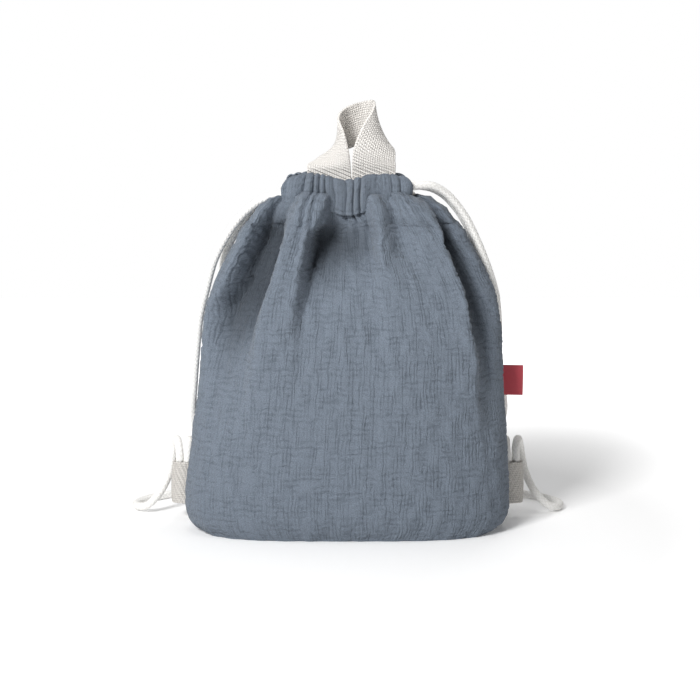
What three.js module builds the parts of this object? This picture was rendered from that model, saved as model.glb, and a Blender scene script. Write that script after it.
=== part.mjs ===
// A drawstring backpack, standing filled with its mouth drawn in: a lined cotton bag whose top hem is
// gathered on two draw cords. The cords leave the hem at the sides, hang down as shoulder straps and end
// in a webbing tab at each lower corner. A webbing carry loop stands up behind the mouth, and a folded
// woven label is caught in the right-hand side seam.
// Millimetres, +Z up, the front faces -Y, and the origin is on the floor under the middle of the bag.
import * as THREE from "three";

const { clamp, lerp, smoothstep, degToRad } = THREE.MathUtils;

// Bag body: heights above the floor, and outside widths and depths at those heights.
const BASE_WIDTH = 214;
const BASE_DEPTH = 86;
const BELLY_HEIGHT = 20;
const BELLY_WIDTH = 244;
const BELLY_DEPTH = 100;
const WAIST_HEIGHT = 105;
const WAIST_WIDTH = 227;
const WAIST_DEPTH = 98;
const SHOULDER_HEIGHT = 165;
const SHOULDER_WIDTH = 214;
const SHOULDER_DEPTH = 86;
const SLOPE_HEIGHT = 214;
const SLOPE_WIDTH = 172;
const SLOPE_DEPTH = 58;
const NECK_HEIGHT = 241;
const RIM_WIDTH = 98; // the hem's width and depth, without its padding
const RIM_DEPTH = 26;
const NECK_DEPTH = 31; // the gathered cloth is deeper than the hem that catches it
const WAIST_LEAN = 3; // the filled bag leans to the right between its base and its neck
const SHOULDER_LEAN = 5;
const SLOPE_LEAN = 3.5;
const SEAM_SETBACK = 18; // the side seams lie this far behind the middle of the belly
const BASE_SQUARENESS = 3.4; // section exponents: 2 is an ellipse, and more is squarer
const BODY_SQUARENESS = 2.5;
const NECK_SQUARENESS = 4;
const END_STEEPNESS = 2.8; // how sharply the body's sides turn in at the base and under the hem
const DEPTH_STEEPNESS = 1.7; // the same for its front and back

// Cloth thicknesses, and the gap that sewn layers keep from each other.
const WALL = 2;
const BASE_THICKNESS = 2;
const LINING = 0.8;
const LINING_EASE = 2.6; // the lining hangs this far inside the folds
const CLEARANCE = 0.3;

// Folds that run down from the gathered neck: lines of ridges and valleys, given at a few heights. at is a
// line's place across its panel there, from the right seam (0) to the left seam (1), and rise is its height
// above the smooth body.
const FOLD_HEIGHTS = [70, 130, 160, 190, 218, NECK_HEIGHT];
const FRONT_FOLDS = [
  { at: [0.1, 0.1, 0.1, 0.1, 0.12, 0.14], rise: [0, 0, 0, 0, 0, 0] },
  { at: [0.188, 0.188, 0.187, 0.189, 0.205, 0.19], rise: [0, -3, -5, -6, -4, -1.5] },
  { at: [0.23, 0.229, 0.24, 0.24, 0.248, 0.218], rise: [0, -7, -12, -14, -14, -4] },
  { at: [0.26, 0.26, 0.277, 0.281, 0.277, 0.242], rise: [0, -5, -10, -12, -12, -3.5] },
  { at: [0.285, 0.288, 0.303, 0.304, 0.3, 0.272], rise: [0, 4, 7.5, 8.5, 8, 2.5] },
  { at: [0.394, 0.394, 0.397, 0.4, 0.392, 0.388], rise: [0, 2, 3.5, 4, -2, -3] },
  { at: [0.457, 0.458, 0.459, 0.46, 0.448, 0.43], rise: [0, 0.5, 1.5, 1, 1.5, 2] },
  { at: [0.5, 0.505, 0.512, 0.515, 0.515, 0.484], rise: [0, 0, 0, -2, -6, -2] },
  { at: [0.55, 0.555, 0.563, 0.563, 0.556, 0.522], rise: [0, 0, -2, -10, -16, -4] },
  { at: [0.58, 0.582, 0.583, 0.582, 0.581, 0.54], rise: [0, 0, -2, -11, -16, -4] },
  { at: [0.605, 0.605, 0.605, 0.605, 0.605, 0.57], rise: [0, 1.5, 5, 8, 8, 2.5] },
  { at: [0.66, 0.662, 0.657, 0.646, 0.642, 0.645], rise: [0, 3.5, 7, 9, 8.5, 2.5] },
  { at: [0.7, 0.695, 0.688, 0.672, 0.67, 0.672], rise: [0, -4, -10, -13, -14, -3.5] },
  { at: [0.745, 0.745, 0.755, 0.728, 0.725, 0.71], rise: [0, -6, -11, -14, -15, -4] },
  { at: [0.83, 0.83, 0.835, 0.785, 0.775, 0.77], rise: [0, 0.5, 1, 2, 2, 1] },
  { at: [0.92, 0.92, 0.92, 0.91, 0.9, 0.88], rise: [0, 0, 0, 0, 0, 0] },
];
const BACK_FOLDS = [
  { at: [0.16, 0.16, 0.16, 0.16, 0.17, 0.2], rise: [0, -1, -3, -6, -6, -2] },
  { at: [0.28, 0.28, 0.28, 0.28, 0.29, 0.31], rise: [0, 0, 2, 6, 6, 2] },
  { at: [0.38, 0.38, 0.38, 0.385, 0.39, 0.41], rise: [0, 0, -2, -8, -10, -3] },
  { at: [0.52, 0.52, 0.52, 0.515, 0.51, 0.5], rise: [0, 1, 3, 5, 5, 2] },
  { at: [0.61, 0.61, 0.61, 0.605, 0.6, 0.59], rise: [0, 0, -3, -9, -11, -3] },
  { at: [0.73, 0.73, 0.73, 0.72, 0.71, 0.69], rise: [0, 0, 2, 6, 6, 2] },
  { at: [0.86, 0.86, 0.86, 0.86, 0.85, 0.8], rise: [0, -1, -3, -6, -6, -2] },
];

// Gathers of the hem.
const GATHERS = 11;
const GATHER_DEPTH = 2.2;
const SCALLOP = 1;
const RIM_DIP = 4.5; // the hem hangs lower in the middle
const RIM_DIP_SPAN = 13;

// Draw cords and the hem tunnels that they run in.
const CORD_DIAMETER = 6;
const CORD_CLEARANCE = 0.5;
const TUNNEL_HEIGHT = 25;
const TUNNEL_WALL = 1.8;
const TUNNEL_END = 9; // the tunnel's middle stops this far short of the rim's side
const TUNNEL_SLANT = 6; // each tunnel's outer face reaches this much further round than its middle

// Webbing: the carry loop and the corner tabs are cut from the same tape.
const WEBBING_WIDTH = 32;
const WEBBING_THICKNESS = 1.8;
const LOOP_OFFSET = 3; // the split between the loop's legs lies this far to the right
const LOOP_SPLIT = 0.8; // gap between the two legs at the hem
const LOOP_RISE = 50; // height of the loop's upper edge above the fold at its foot
const LOOP_CREASE = 5; // height over which the creased foot thickens
const LOOP_SEWN_LENGTH = 20;
const LOOP_FOLD_GAP = 0.9; // between the sewn ends and the part that folds over
const LOOP_FOOT_THICKNESS = 0.5; // the webbing is creased thin at that fold
const TAB_HEIGHT = 13;
const TAB_GAP = 0.8;
const TAB_TOE = 15; // degrees that the tabs point towards the back

// Woven side label, folded double.
const LABEL_HEIGHT = 23;
const LABEL_LENGTH = 19;
const LABEL_THICKNESS = 0.8;
const LABEL_MIDDLE_HEIGHT = 109;
const LABEL_GAP = 0.6;

// Mesh densities.
const PANEL_COLUMNS = 40;
const COLUMN_CROWDING = 0.05; // columns stand closer together at the middle of a panel, where its folds are
const PANEL_ROWS = 14;
const LINING_COLUMNS = 14;
const LINING_ROWS = 12;
const TUNNEL_STEPS = 44;
const TUNNEL_SIDES = 8;
const TAB_STEPS = 5;
const TAB_SIDES = 16;
const LOOP_STEPS = 40;
const LOOP_COLUMNS = 4;
const CORD_SIDES = 8;
const BASE_SIDES = 64;

const CORD_RADIUS = CORD_DIAMETER / 2;
const FRONT = -1;
const BACK = 1;
const LEFT = -1;
const RIGHT = 1;

const COTTON = { color: 0x7a8492, roughness: 0.95, metalness: 0 };
const LINING_COTTON = { color: 0xb9bdc4, roughness: 0.95, metalness: 0 };
const CORD_COTTON = { color: 0xe4e0da, roughness: 0.9, metalness: 0 };
const WEBBING_COTTON = { color: 0xe2dad2, roughness: 0.9, metalness: 0 };
const LABEL_WEAVE = { color: 0xa33a42, roughness: 0.7, metalness: 0 };

const part = new THREE.Group();

function addPiece(name, geometry, finish) {
  const piece = new THREE.Mesh(geometry, new THREE.MeshStandardMaterial(finish));
  piece.name = name;
  part.add(piece);
  return piece;
}

// A closed surface from points and triangles, turned so that its faces point out.
function closedGeometry(points, triangles) {
  const [a, b, c] = [new THREE.Vector3(), new THREE.Vector3(), new THREE.Vector3()];
  let volume = 0;
  for (const [i, j, k] of triangles) {
    volume += a.copy(points[i]).dot(b.copy(points[j]).cross(c.copy(points[k])));
  }
  const facing = volume < 0 ? triangles.map(([i, j, k]) => [i, k, j]) : triangles;
  return new THREE.BufferGeometry().setFromPoints(points).setIndex(facing.flat());
}

const quad = (a, b, c, d) => [[a, b, c], [a, c, d]];

// A sheet with thickness. point(u, v, layer) gives its two faces: layer 0 outside and layer 1 inside.
function sheetGeometry(point, columns, rows) {
  const points = [];
  const triangles = [];
  const at = (layer, i, j) => (layer * (columns + 1) + i) * (rows + 1) + j;
  for (const layer of [0, 1]) {
    for (let i = 0; i <= columns; i++) {
      for (let j = 0; j <= rows; j++) points.push(point(i / columns, j / rows, layer));
    }
  }
  for (let i = 0; i < columns; i++) {
    for (let j = 0; j < rows; j++) {
      triangles.push(...quad(at(0, i, j), at(0, i + 1, j), at(0, i + 1, j + 1), at(0, i, j + 1)));
      triangles.push(...quad(at(1, i, j), at(1, i, j + 1), at(1, i + 1, j + 1), at(1, i + 1, j)));
    }
    triangles.push(...quad(at(0, i, 0), at(1, i, 0), at(1, i + 1, 0), at(0, i + 1, 0)));
    triangles.push(...quad(at(0, i, rows), at(0, i + 1, rows), at(1, i + 1, rows), at(1, i, rows)));
  }
  for (let j = 0; j < rows; j++) {
    triangles.push(...quad(at(0, 0, j), at(0, 0, j + 1), at(1, 0, j + 1), at(1, 0, j)));
    const end = columns;
    triangles.push(...quad(at(0, end, j), at(1, end, j), at(1, end, j + 1), at(0, end, j + 1)));
  }
  return closedGeometry(points, triangles);
}

// A sleeve with a wall, open at both ends: u runs along it and v goes once round it.
function sleeveGeometry(point, steps, sides) {
  const points = [];
  const triangles = [];
  const at = (layer, i, j) => (layer * (steps + 1) + i) * sides + (j % sides);
  for (const layer of [0, 1]) {
    for (let i = 0; i <= steps; i++) {
      for (let j = 0; j < sides; j++) points.push(point(i / steps, j / sides, layer));
    }
  }
  for (let j = 0; j < sides; j++) {
    for (let i = 0; i < steps; i++) {
      triangles.push(...quad(at(0, i, j), at(0, i + 1, j), at(0, i + 1, j + 1), at(0, i, j + 1)));
      triangles.push(...quad(at(1, i, j), at(1, i, j + 1), at(1, i + 1, j + 1), at(1, i + 1, j)));
    }
    triangles.push(...quad(at(0, 0, j), at(0, 0, j + 1), at(1, 0, j + 1), at(1, 0, j)));
    triangles.push(...quad(at(0, steps, j), at(1, steps, j), at(1, steps, j + 1), at(0, steps, j + 1)));
  }
  return closedGeometry(points, triangles);
}

// A cup with a wall and a closed bottom: u goes once round it, and v runs from the bottom to the mouth.
function cupGeometry(point, bottom, columns, rows) {
  const points = [];
  const triangles = [];
  const at = (layer, i, j) => (layer * columns + (i % columns)) * (rows + 1) + j;
  for (const layer of [0, 1]) {
    for (let i = 0; i < columns; i++) {
      for (let j = 0; j <= rows; j++) points.push(point(i / columns, j / rows, layer));
    }
  }
  const middle = [0, 1].map((layer) => points.push(bottom(layer)) - 1);
  for (let i = 0; i < columns; i++) {
    for (let j = 0; j < rows; j++) {
      triangles.push(...quad(at(0, i, j), at(0, i + 1, j), at(0, i + 1, j + 1), at(0, i, j + 1)));
      triangles.push(...quad(at(1, i, j), at(1, i, j + 1), at(1, i + 1, j + 1), at(1, i + 1, j)));
    }
    triangles.push(...quad(at(0, i, rows), at(0, i + 1, rows), at(1, i + 1, rows), at(1, i, rows)));
    triangles.push([at(0, i + 1, 0), at(0, i, 0), middle[0]], [at(1, i, 0), at(1, i + 1, 0), middle[1]]);
  }
  return closedGeometry(points, triangles);
}

// A round cord along a smooth curve through the points.
function cordGeometry(points, steps) {
  const turn = (2 * Math.PI) / CORD_SIDES;
  const corners = Array.from({ length: CORD_SIDES }, (_, i) =>
    new THREE.Vector2(CORD_RADIUS * Math.cos(i * turn), CORD_RADIUS * Math.sin(i * turn)));
  const extrudePath = new THREE.CatmullRomCurve3(points, false, "centripetal");
  return new THREE.ExtrudeGeometry(new THREE.Shape(corners), { steps, extrudePath });
}

// Body sections

const SECTIONS = [
  { height: 0, lean: 0, width: BASE_WIDTH, depth: BASE_DEPTH, squareness: BASE_SQUARENESS },
  { height: BELLY_HEIGHT, lean: 0, width: BELLY_WIDTH, depth: BELLY_DEPTH, squareness: BODY_SQUARENESS },
  {
    height: WAIST_HEIGHT,
    lean: WAIST_LEAN,
    width: WAIST_WIDTH,
    depth: WAIST_DEPTH,
    squareness: BODY_SQUARENESS,
  },
  {
    height: SHOULDER_HEIGHT,
    lean: SHOULDER_LEAN,
    width: SHOULDER_WIDTH,
    depth: SHOULDER_DEPTH,
    squareness: BODY_SQUARENESS,
  },
  {
    height: SLOPE_HEIGHT,
    lean: SLOPE_LEAN,
    width: SLOPE_WIDTH,
    depth: SLOPE_DEPTH,
    squareness: BODY_SQUARENESS,
  },
  { height: NECK_HEIGHT, lean: 0, width: RIM_WIDTH, depth: NECK_DEPTH, squareness: NECK_SQUARENESS },
];

// A smooth curve through values at rising places, with no overshoot between them. steepness scales its
// slope at both ends.
function smoothThrough(places, values, place, steepness = 1) {
  const last = places.length - 1;
  const span = (i) => places[i + 1] - places[i];
  const slope = (i) => (values[i + 1] - values[i]) / span(i);
  const tangent = (i) => {
    if (i === 0) return steepness * slope(0);
    if (i === last) return steepness * slope(last - 1);
    const [below, above] = [slope(i - 1), slope(i)];
    return below * above <= 0 ? 0 : (2 * below * above) / (below + above);
  };
  const k = clamp(places.filter((start) => start <= place).length - 1, 0, last - 1);
  const t = clamp((place - places[k]) / span(k), 0, 1);
  return (1 + 2 * t) * (1 - t) ** 2 * values[k] + t * (1 - t) ** 2 * span(k) * tangent(k)
    + t * t * (3 - 2 * t) * values[k + 1] + t * t * (t - 1) * span(k) * tangent(k + 1);
}

const SECTION_HEIGHTS = SECTIONS.map((section) => section.height);

// One measure of the body at a height.
function sectionMeasure(measure, height, steepness = END_STEEPNESS) {
  return smoothThrough(SECTION_HEIGHTS, SECTIONS.map((section) => section[measure]), height, steepness);
}

// A point of a rounded square of half side 1: squareness 2 is a circle, and more is squarer.
function roundedSquare(angle, squareness) {
  const [cos, sin] = [Math.cos(angle), Math.sin(angle)];
  const norm = (Math.abs(cos) ** squareness + Math.abs(sin) ** squareness) ** (1 / squareness);
  return new THREE.Vector2(cos / norm, sin / norm);
}

// How far the hem and the cloth just under it hang below the rim's sides.
const rimLift = (x) => -RIM_DIP * Math.exp(-((x / RIM_DIP_SPAN) ** 2));

const lineRise = (line, height) => smoothThrough(FOLD_HEIGHTS, line.rise, height);

// How far the folds of a panel lift its cloth at a place.
function foldRise(side, share, height) {
  const lines = side === FRONT ? FRONT_FOLDS : BACK_FOLDS;
  const places = lines.map((line) => smoothThrough(FOLD_HEIGHTS, line.at, height));
  const rises = lines.map((line) => lineRise(line, height));
  return smoothThrough([0, ...places, 1], [0, ...rises, 0], share);
}

// How deep the deepest valley of either panel is at a height.
function valleyDepth(height) {
  return Math.max(...[...FRONT_FOLDS, ...BACK_FOLDS].map((line) => -lineRise(line, height)));
}

// A point of the body wall. side is the front or back panel, share runs from its right seam to its left
// seam, inset is the depth below the outside of the cloth, and rise is what folds add to it.
function wallPoint(side, share, height, inset, rise = foldRise(side, share, height)) {
  const squareness = sectionMeasure("squareness", height);
  const setback = (2 * SEAM_SETBACK) / BELLY_DEPTH;
  const seam = Math.atan2(setback, (1 - setback ** squareness) ** (1 / squareness));
  const sweep = side === FRONT ? -(Math.PI + 2 * seam) : Math.PI - 2 * seam;
  const angle = seam + share * sweep;
  const halfWidth = sectionMeasure("width", height) / 2;
  const halfDepth = sectionMeasure("depth", height, DEPTH_STEEPNESS) / 2;
  const section = roundedSquare(angle, squareness);
  const outward = new THREE.Vector2(section.x / halfWidth, section.y / halfDepth).normalize();
  const x = sectionMeasure("lean", height) + (halfWidth - inset) * section.x + rise * outward.x;
  const y = (halfDepth - inset) * section.y + rise * outward.y;
  return new THREE.Vector3(x, y, height + rimLift(x) * smoothstep(height, SLOPE_HEIGHT, NECK_HEIGHT));
}

// Where a side seam meets the outside of the bag.
function seamPoint(side, height) {
  return wallPoint(FRONT, side === RIGHT ? 0 : 1, height, 0);
}

// Rows are closest together at the base and at the neck, where the body curves most.
const rowShare = (v) => (1 - Math.cos(Math.PI * v)) / 2;

// Front and back panels of the outer cloth

function panelGeometry(side) {
  const edge = CLEARANCE / BELLY_WIDTH / 2;
  const columnShare = (u) => u + COLUMN_CROWDING * Math.sin(2 * Math.PI * u);
  const point = (u, v, layer) =>
    wallPoint(side, lerp(edge, 1 - edge, columnShare(u)), NECK_HEIGHT * rowShare(v), layer * WALL);
  return sheetGeometry(point, PANEL_COLUMNS, PANEL_ROWS);
}

addPiece("front_panel", panelGeometry(FRONT), COTTON);
addPiece("back_panel", panelGeometry(BACK), COTTON);

// Base panel, sewn in between the lower edges of the two panels

function baseGeometry() {
  const inset = WALL + CLEARANCE;
  const size = new THREE.Vector2(BASE_WIDTH / 2 - inset, BASE_DEPTH / 2 - inset);
  const outline = Array.from({ length: BASE_SIDES }, (_, i) =>
    roundedSquare((2 * Math.PI * i) / BASE_SIDES, BASE_SQUARENESS).multiply(size));
  return new THREE.ExtrudeGeometry(new THREE.Shape(outline), { depth: BASE_THICKNESS, bevelEnabled: false });
}

addPiece("base_panel", baseGeometry(), COTTON);

// Lining: a loose inner bag

function liningGeometry() {
  const floor = BASE_THICKNESS + CLEARANCE;
  const point = (u, v, layer) => {
    const side = u < 0.5 ? FRONT : BACK;
    const share = side === FRONT ? 2 * u : 2 - 2 * u;
    const height = lerp(floor + layer * LINING, NECK_HEIGHT - CLEARANCE, rowShare(v));
    const inset = WALL + LINING_EASE + valleyDepth(height) + layer * LINING;
    return wallPoint(side, share, height, inset, 0);
  };
  const bottom = (layer) => new THREE.Vector3(0, 0, floor + layer * LINING);
  return cupGeometry(point, bottom, 2 * LINING_COLUMNS, LINING_ROWS);
}

addPiece("lining", liningGeometry(), LINING_COTTON);

// Hem tunnels that gather the mouth

const RIM_HALF_WIDTH = (RIM_WIDTH - WALL) / 2;
const RIM_HALF_DEPTH = (RIM_DEPTH - WALL) / 2;
const TUNNEL_REACH = RIM_HALF_WIDTH - TUNNEL_END;
const TUNNEL_HALF_HEIGHT = TUNNEL_HEIGHT / 2;
const CORD_LEVEL = CORD_RADIUS + CLEARANCE; // the cords lie one above the other
const BORE_HALF_DEPTH = CORD_RADIUS + CORD_CLEARANCE;
const BORE_HALF_HEIGHT = CORD_LEVEL + CORD_RADIUS + CORD_CLEARANCE;
const TUNNEL_HALF_DEPTH = BORE_HALF_DEPTH + TUNNEL_WALL;

// The hem's middle line seen from above, and the height of the hem's middle along it.
const rimDepthAt = (x) =>
  RIM_HALF_DEPTH * (1 - Math.abs(x / RIM_HALF_WIDTH) ** NECK_SQUARENESS) ** (1 / NECK_SQUARENESS);
const hemMiddle = (x) => NECK_HEIGHT + CLEARANCE + TUNNEL_HALF_HEIGHT + rimLift(x);

// A point near the hem: out is measured outwards from its middle line, and up from its middle height.
function hemPoint(side, x, out, up) {
  const slope = (rimDepthAt(x + CLEARANCE) - rimDepthAt(x - CLEARANCE)) / (2 * CLEARANCE);
  const outward = new THREE.Vector2(-slope, side).normalize();
  return new THREE.Vector3(x + out * outward.x, side * rimDepthAt(x) + out * outward.y, hemMiddle(x) + up);
}

function tunnelGeometry(side) {
  const point = (u, v, layer) => {
    const x = lerp(TUNNEL_REACH, -TUNNEL_REACH, u);
    const angle = 2 * Math.PI * v;
    const gather = layer === 0 ? Math.cos(2 * Math.PI * GATHERS * u) : 0;
    const swell = layer === 0 ? (GATHER_DEPTH / 2) * (1 + gather) * Math.max(0, Math.cos(angle)) : 0;
    const squareness = layer === 0 ? BODY_SQUARENESS : NECK_SQUARENESS;
    const halfDepth = layer === 0 ? TUNNEL_HALF_DEPTH + swell : BORE_HALF_DEPTH;
    const halfHeight = layer === 0 ? TUNNEL_HALF_HEIGHT : BORE_HALF_HEIGHT;
    const section = roundedSquare(angle, squareness);
    const out = halfDepth * section.x;
    const up = halfHeight * section.y + SCALLOP * gather * Math.max(0, Math.sin(angle));
    const slant = TUNNEL_SLANT * clamp(out / TUNNEL_HALF_DEPTH, -1, 1) * (x / TUNNEL_REACH) ** 3;
    return hemPoint(side, x + slant, out, up);
  };
  return sleeveGeometry(point, TUNNEL_STEPS, TUNNEL_SIDES);
}

addPiece("front_hem_tunnel", tunnelGeometry(FRONT), COTTON);
addPiece("back_hem_tunnel", tunnelGeometry(BACK), COTTON);

// Draw cords inside the hem: each runs through the front tunnel, turns at the far side and comes back
// through the back tunnel, so that both of its ends leave at the same side.

const CORD_TURN = TUNNEL_REACH - CORD_RADIUS; // where a cord starts its turn at the far side
const CORD_EXIT = TUNNEL_REACH + TUNNEL_SLANT; // where a cord leaves the hem
const HEM_CORD_STEPS = 36;
const TURN_POINTS = 5;
const RUN_POINTS = 9;

const cordLevel = (side) => (side === LEFT ? -CORD_LEVEL : CORD_LEVEL);

// A cord's points in one tunnel, from where it leaves the hem to where it turns.
const hemRun = (side, panel) => Array.from({ length: RUN_POINTS }, (_, i) =>
  hemPoint(panel, side * lerp(CORD_EXIT, -CORD_TURN, i / (RUN_POINTS - 1)), 0, cordLevel(side)));

function hemCordGeometry(side) {
  const radius = rimDepthAt(CORD_TURN);
  const turn = Array.from({ length: TURN_POINTS }, (_, i) => {
    const angle = (Math.PI * (i + 1)) / (TURN_POINTS + 1);
    return new THREE.Vector3(
      -side * (CORD_TURN + radius * Math.sin(angle)),
      FRONT * radius * Math.cos(angle),
      hemMiddle(CORD_TURN) + cordLevel(side),
    );
  });
  return cordGeometry([...hemRun(side, FRONT), ...turn, ...hemRun(side, BACK).reverse()], HEM_CORD_STEPS);
}

addPiece("left_draw_cord", hemCordGeometry(LEFT), CORD_COTTON);
addPiece("right_draw_cord", hemCordGeometry(RIGHT), CORD_COTTON);

// Corner tabs: webbing wrapped round the two ends of a cord and sewn into the side seam

const TAB_BORE_HALF_LENGTH = CORD_DIAMETER + CLEARANCE / 2 + CORD_CLEARANCE;
const TAB_BORE_HALF_DEPTH = CORD_RADIUS + CORD_CLEARANCE;
const TAB_HALF_LENGTH = TAB_BORE_HALF_LENGTH + WEBBING_THICKNESS;
const TAB_HALF_DEPTH = TAB_BORE_HALF_DEPTH + WEBBING_THICKNESS;
const TAB_SQUARENESS = 2.1;
const TAB_BORE_SQUARENESS = 3;
const TAB_TOP = TAB_HEIGHT + WEBBING_WIDTH;
const CORD_END_STEPS = 4;

// A point beside the seam: out is measured from the seam along the tab, and across towards the back.
function tabPoint(side, out, across, height) {
  const root = seamPoint(side, height);
  const toe = degToRad(TAB_TOE);
  return new THREE.Vector3(
    root.x + side * (out * Math.cos(toe) - across * Math.sin(toe)),
    root.y + out * Math.sin(toe) + across * Math.cos(toe),
    height,
  );
}

function tabGeometry(side) {
  const point = (u, v, layer) => {
    const angle = 2 * Math.PI * v;
    const squareness = layer === 0 ? TAB_SQUARENESS : TAB_BORE_SQUARENESS;
    const halfLength = layer === 0 ? TAB_HALF_LENGTH : TAB_BORE_HALF_LENGTH;
    const halfDepth = layer === 0 ? TAB_HALF_DEPTH : TAB_BORE_HALF_DEPTH;
    const section = roundedSquare(angle, squareness);
    const out = TAB_GAP + TAB_HALF_LENGTH + halfLength * section.x;
    return tabPoint(side, out, halfDepth * section.y, lerp(TAB_HEIGHT, TAB_TOP, u));
  };
  return sleeveGeometry(point, TAB_STEPS, TAB_SIDES);
}

// The two cords of a tab lie beside each other: place is -1 next to the seam and +1 further out.
const INNER = -1;
const OUTER = 1;
const tabCordOut = (place) => TAB_GAP + TAB_HALF_LENGTH + place * (CORD_RADIUS + CLEARANCE / 2);
const cordEnd = (side, place) => Array.from({ length: CORD_END_STEPS + 1 }, (_, i) => {
  const height = lerp(TAB_HEIGHT + CLEARANCE, TAB_TOP - CLEARANCE, i / CORD_END_STEPS);
  return tabPoint(side, tabCordOut(place), 0, height);
});

for (const [side, name] of [[LEFT, "left"], [RIGHT, "right"]]) {
  addPiece(`${name}_tab`, tabGeometry(side), WEBBING_COTTON);
  addPiece(`${name}_inner_cord_end`, cordGeometry(cordEnd(side, INNER), CORD_END_STEPS), CORD_COTTON);
  addPiece(`${name}_outer_cord_end`, cordGeometry(cordEnd(side, OUTER), CORD_END_STEPS), CORD_COTTON);
}

// Free cords. Each side has a front and a back strand, which hang from the hem to the floor behind the bag,
// and two tails, which lie on the floor, rise beside the corner and bend over into the tab.

const FLOOR = CORD_RADIUS + CLEARANCE; // height of a lying cord's middle
const STRAND_STEPS = 20;
const TAIL_STEPS = 22;
const JOIN_GAP = CLEARANCE;
const JOIN_LEAD = 2; // a cord goes straight on for this far beyond a join

const LEFT_FRONT_STRAND = [
  [-60.5, -3.5, 248], [-69, -0.2, 240.8], [-77, 2, 231.8], [-87, 4, 217.5], [-95.5, 6, 200], [-102, 9, 180],
  [-106.5, 11, 160], [-109.5, 13, 140], [-113, 15, 110], [-116, 19, 80], [-114, 27, 60], [-109, 37, 42],
  [-104, 45, 23], [-98, 52.5, 10.5], [-88, 57.5, 4.2], [-73, 59, FLOOR],
];
const RIGHT_FRONT_STRAND = [
  [61.5, -3.5, 257.3], [72, 1, 251.5], [81, 4, 242], [88.5, 6, 231], [95.5, 8, 217], [101.5, 10, 203],
  [107.5, 13, 187], [112, 17, 170], [114, 21, 150], [114.5, 25, 126], [116, 26.5, 107], [119, 26.5, 94],
  [119.5, 28, 82], [115.5, 32.5, 67], [112, 39, 52], [108, 45, 35], [103, 51, 19], [97, 55, 9.5],
  [88, 58, 4.2], [74, 59.5, FLOOR],
];
const LEFT_BACK_STRAND = [
  [-61, 4.6, 246.3], [-70.5, 7.2, 238], [-80, 9.5, 226], [-88.5, 12.5, 211.5], [-93, 18, 196],
  [-91.5, 26.5, 180], [-85.5, 36, 162], [-75.5, 44.5, 140], [-63.5, 51, 112], [-53, 55, 80], [-45, 57.5, 48],
  [-40.5, 61, 24], [-40.2, 66, 12.5], [-41.5, 74, 5.3], [-45.5, 84, FLOOR], [-53, 94, FLOOR],
  [-64, 100, FLOOR], [-76, 101.5, FLOOR],
];
const RIGHT_BACK_STRAND = [
  [61.5, 4.6, 255.2], [71.5, 7.8, 249.5], [80.5, 10.8, 240], [88, 13, 228.5], [94.5, 16, 214], [98, 21, 199],
  [97.5, 29, 183], [91.5, 38.5, 165], [81.5, 46.5, 141], [69.5, 52, 112], [58, 55.5, 80], [49, 58, 48],
  [43.5, 61.5, 24], [43.2, 66.5, 12.5], [44.5, 74.5, 5.3], [48.5, 84, FLOOR], [56, 93, FLOOR],
  [67, 98.5, FLOOR], [79, 100, FLOOR],
];
const LEFT_INNER_TAIL = [
  [-60, 61, FLOOR], [-54, 67.5, FLOOR], [-54, 76, FLOOR], [-60, 83.5, FLOOR], [-70, 86.5, FLOOR],
  [-84, 84, FLOOR], [-98, 77.5, FLOOR], [-110, 68, FLOOR], [-118, 58.5, 5.8], [-122.5, 51, 16],
  [-123.4, 46.5, 30], [-123.1, 45.2, 42], [-122.7, 43.5, 51], [-122.4, 38.2, 57.5], [-122.1, 29.9, 59.1],
  [-121.9, 22.2, 54.2],
];
const RIGHT_INNER_TAIL = [
  [61, 61.5, FLOOR], [55, 68, FLOOR], [55, 76, FLOOR], [61, 83.5, FLOOR], [71, 86.5, FLOOR],
  [85, 84, FLOOR], [99, 77.5, FLOOR], [110.5, 68, FLOOR], [118, 58.5, 5.8], [122.5, 51, 16],
  [123.4, 46.5, 30], [123.1, 45.2, 42], [122.7, 43.5, 51], [122.4, 38.2, 57.5], [122.1, 29.9, 59.1],
  [121.9, 22.2, 54.2],
];
const LEFT_OUTER_TAIL = [
  [-91, 100, FLOOR], [-109, 95, FLOOR], [-128, 87, FLOOR], [-146, 77, FLOOR], [-160, 64, FLOOR],
  [-166, 52, FLOOR], [-163.5, 41.5, 3.6], [-155, 35.5, 6.5], [-145.5, 38, 16.5], [-139, 43.5, 30],
  [-136.2, 46.5, 42], [-134.6, 45.1, 51], [-132.8, 39.8, 57.5], [-130.8, 31.5, 59.1], [-129, 23.8, 54.2],
];
const RIGHT_OUTER_TAIL = [
  [93, 98.5, FLOOR], [111, 93.5, FLOOR], [130, 86, FLOOR], [148, 76, FLOOR], [161, 64, FLOOR],
  [167, 52.5, FLOOR], [164.5, 41.5, 3.6], [156, 35.5, 6.5], [146, 38, 16.5], [139.2, 43.5, 30],
  [136.2, 46.5, 42], [134.6, 45.1, 51], [132.8, 39.8, 57.5], [130.8, 31.5, 59.1], [129, 23.8, 54.2],
];

const vectors = (points) => points.map((point) => new THREE.Vector3(...point));

// Where a cord goes on beyond the end of a run of points: a short gap, then straight on for a while.
function leadOn(points) {
  const [last, end] = points.slice(-2);
  const ahead = end.clone().sub(last).normalize();
  return [JOIN_GAP, JOIN_LEAD].map((length) => end.clone().addScaledVector(ahead, length));
}

function addStrap(side, name, panel, place, strandName, tailName, strandPoints, tailPoints) {
  const strand = [...leadOn(hemRun(side, panel).slice(0, 2).reverse()), ...vectors(strandPoints)];
  const tail = [...leadOn(strand), ...vectors(tailPoints), ...leadOn(cordEnd(side, place)).reverse()];
  addPiece(`${name}_${strandName}_strand`, cordGeometry(strand, STRAND_STEPS), CORD_COTTON);
  addPiece(`${name}_${tailName}_tail`, cordGeometry(tail, TAIL_STEPS), CORD_COTTON);
}

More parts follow.
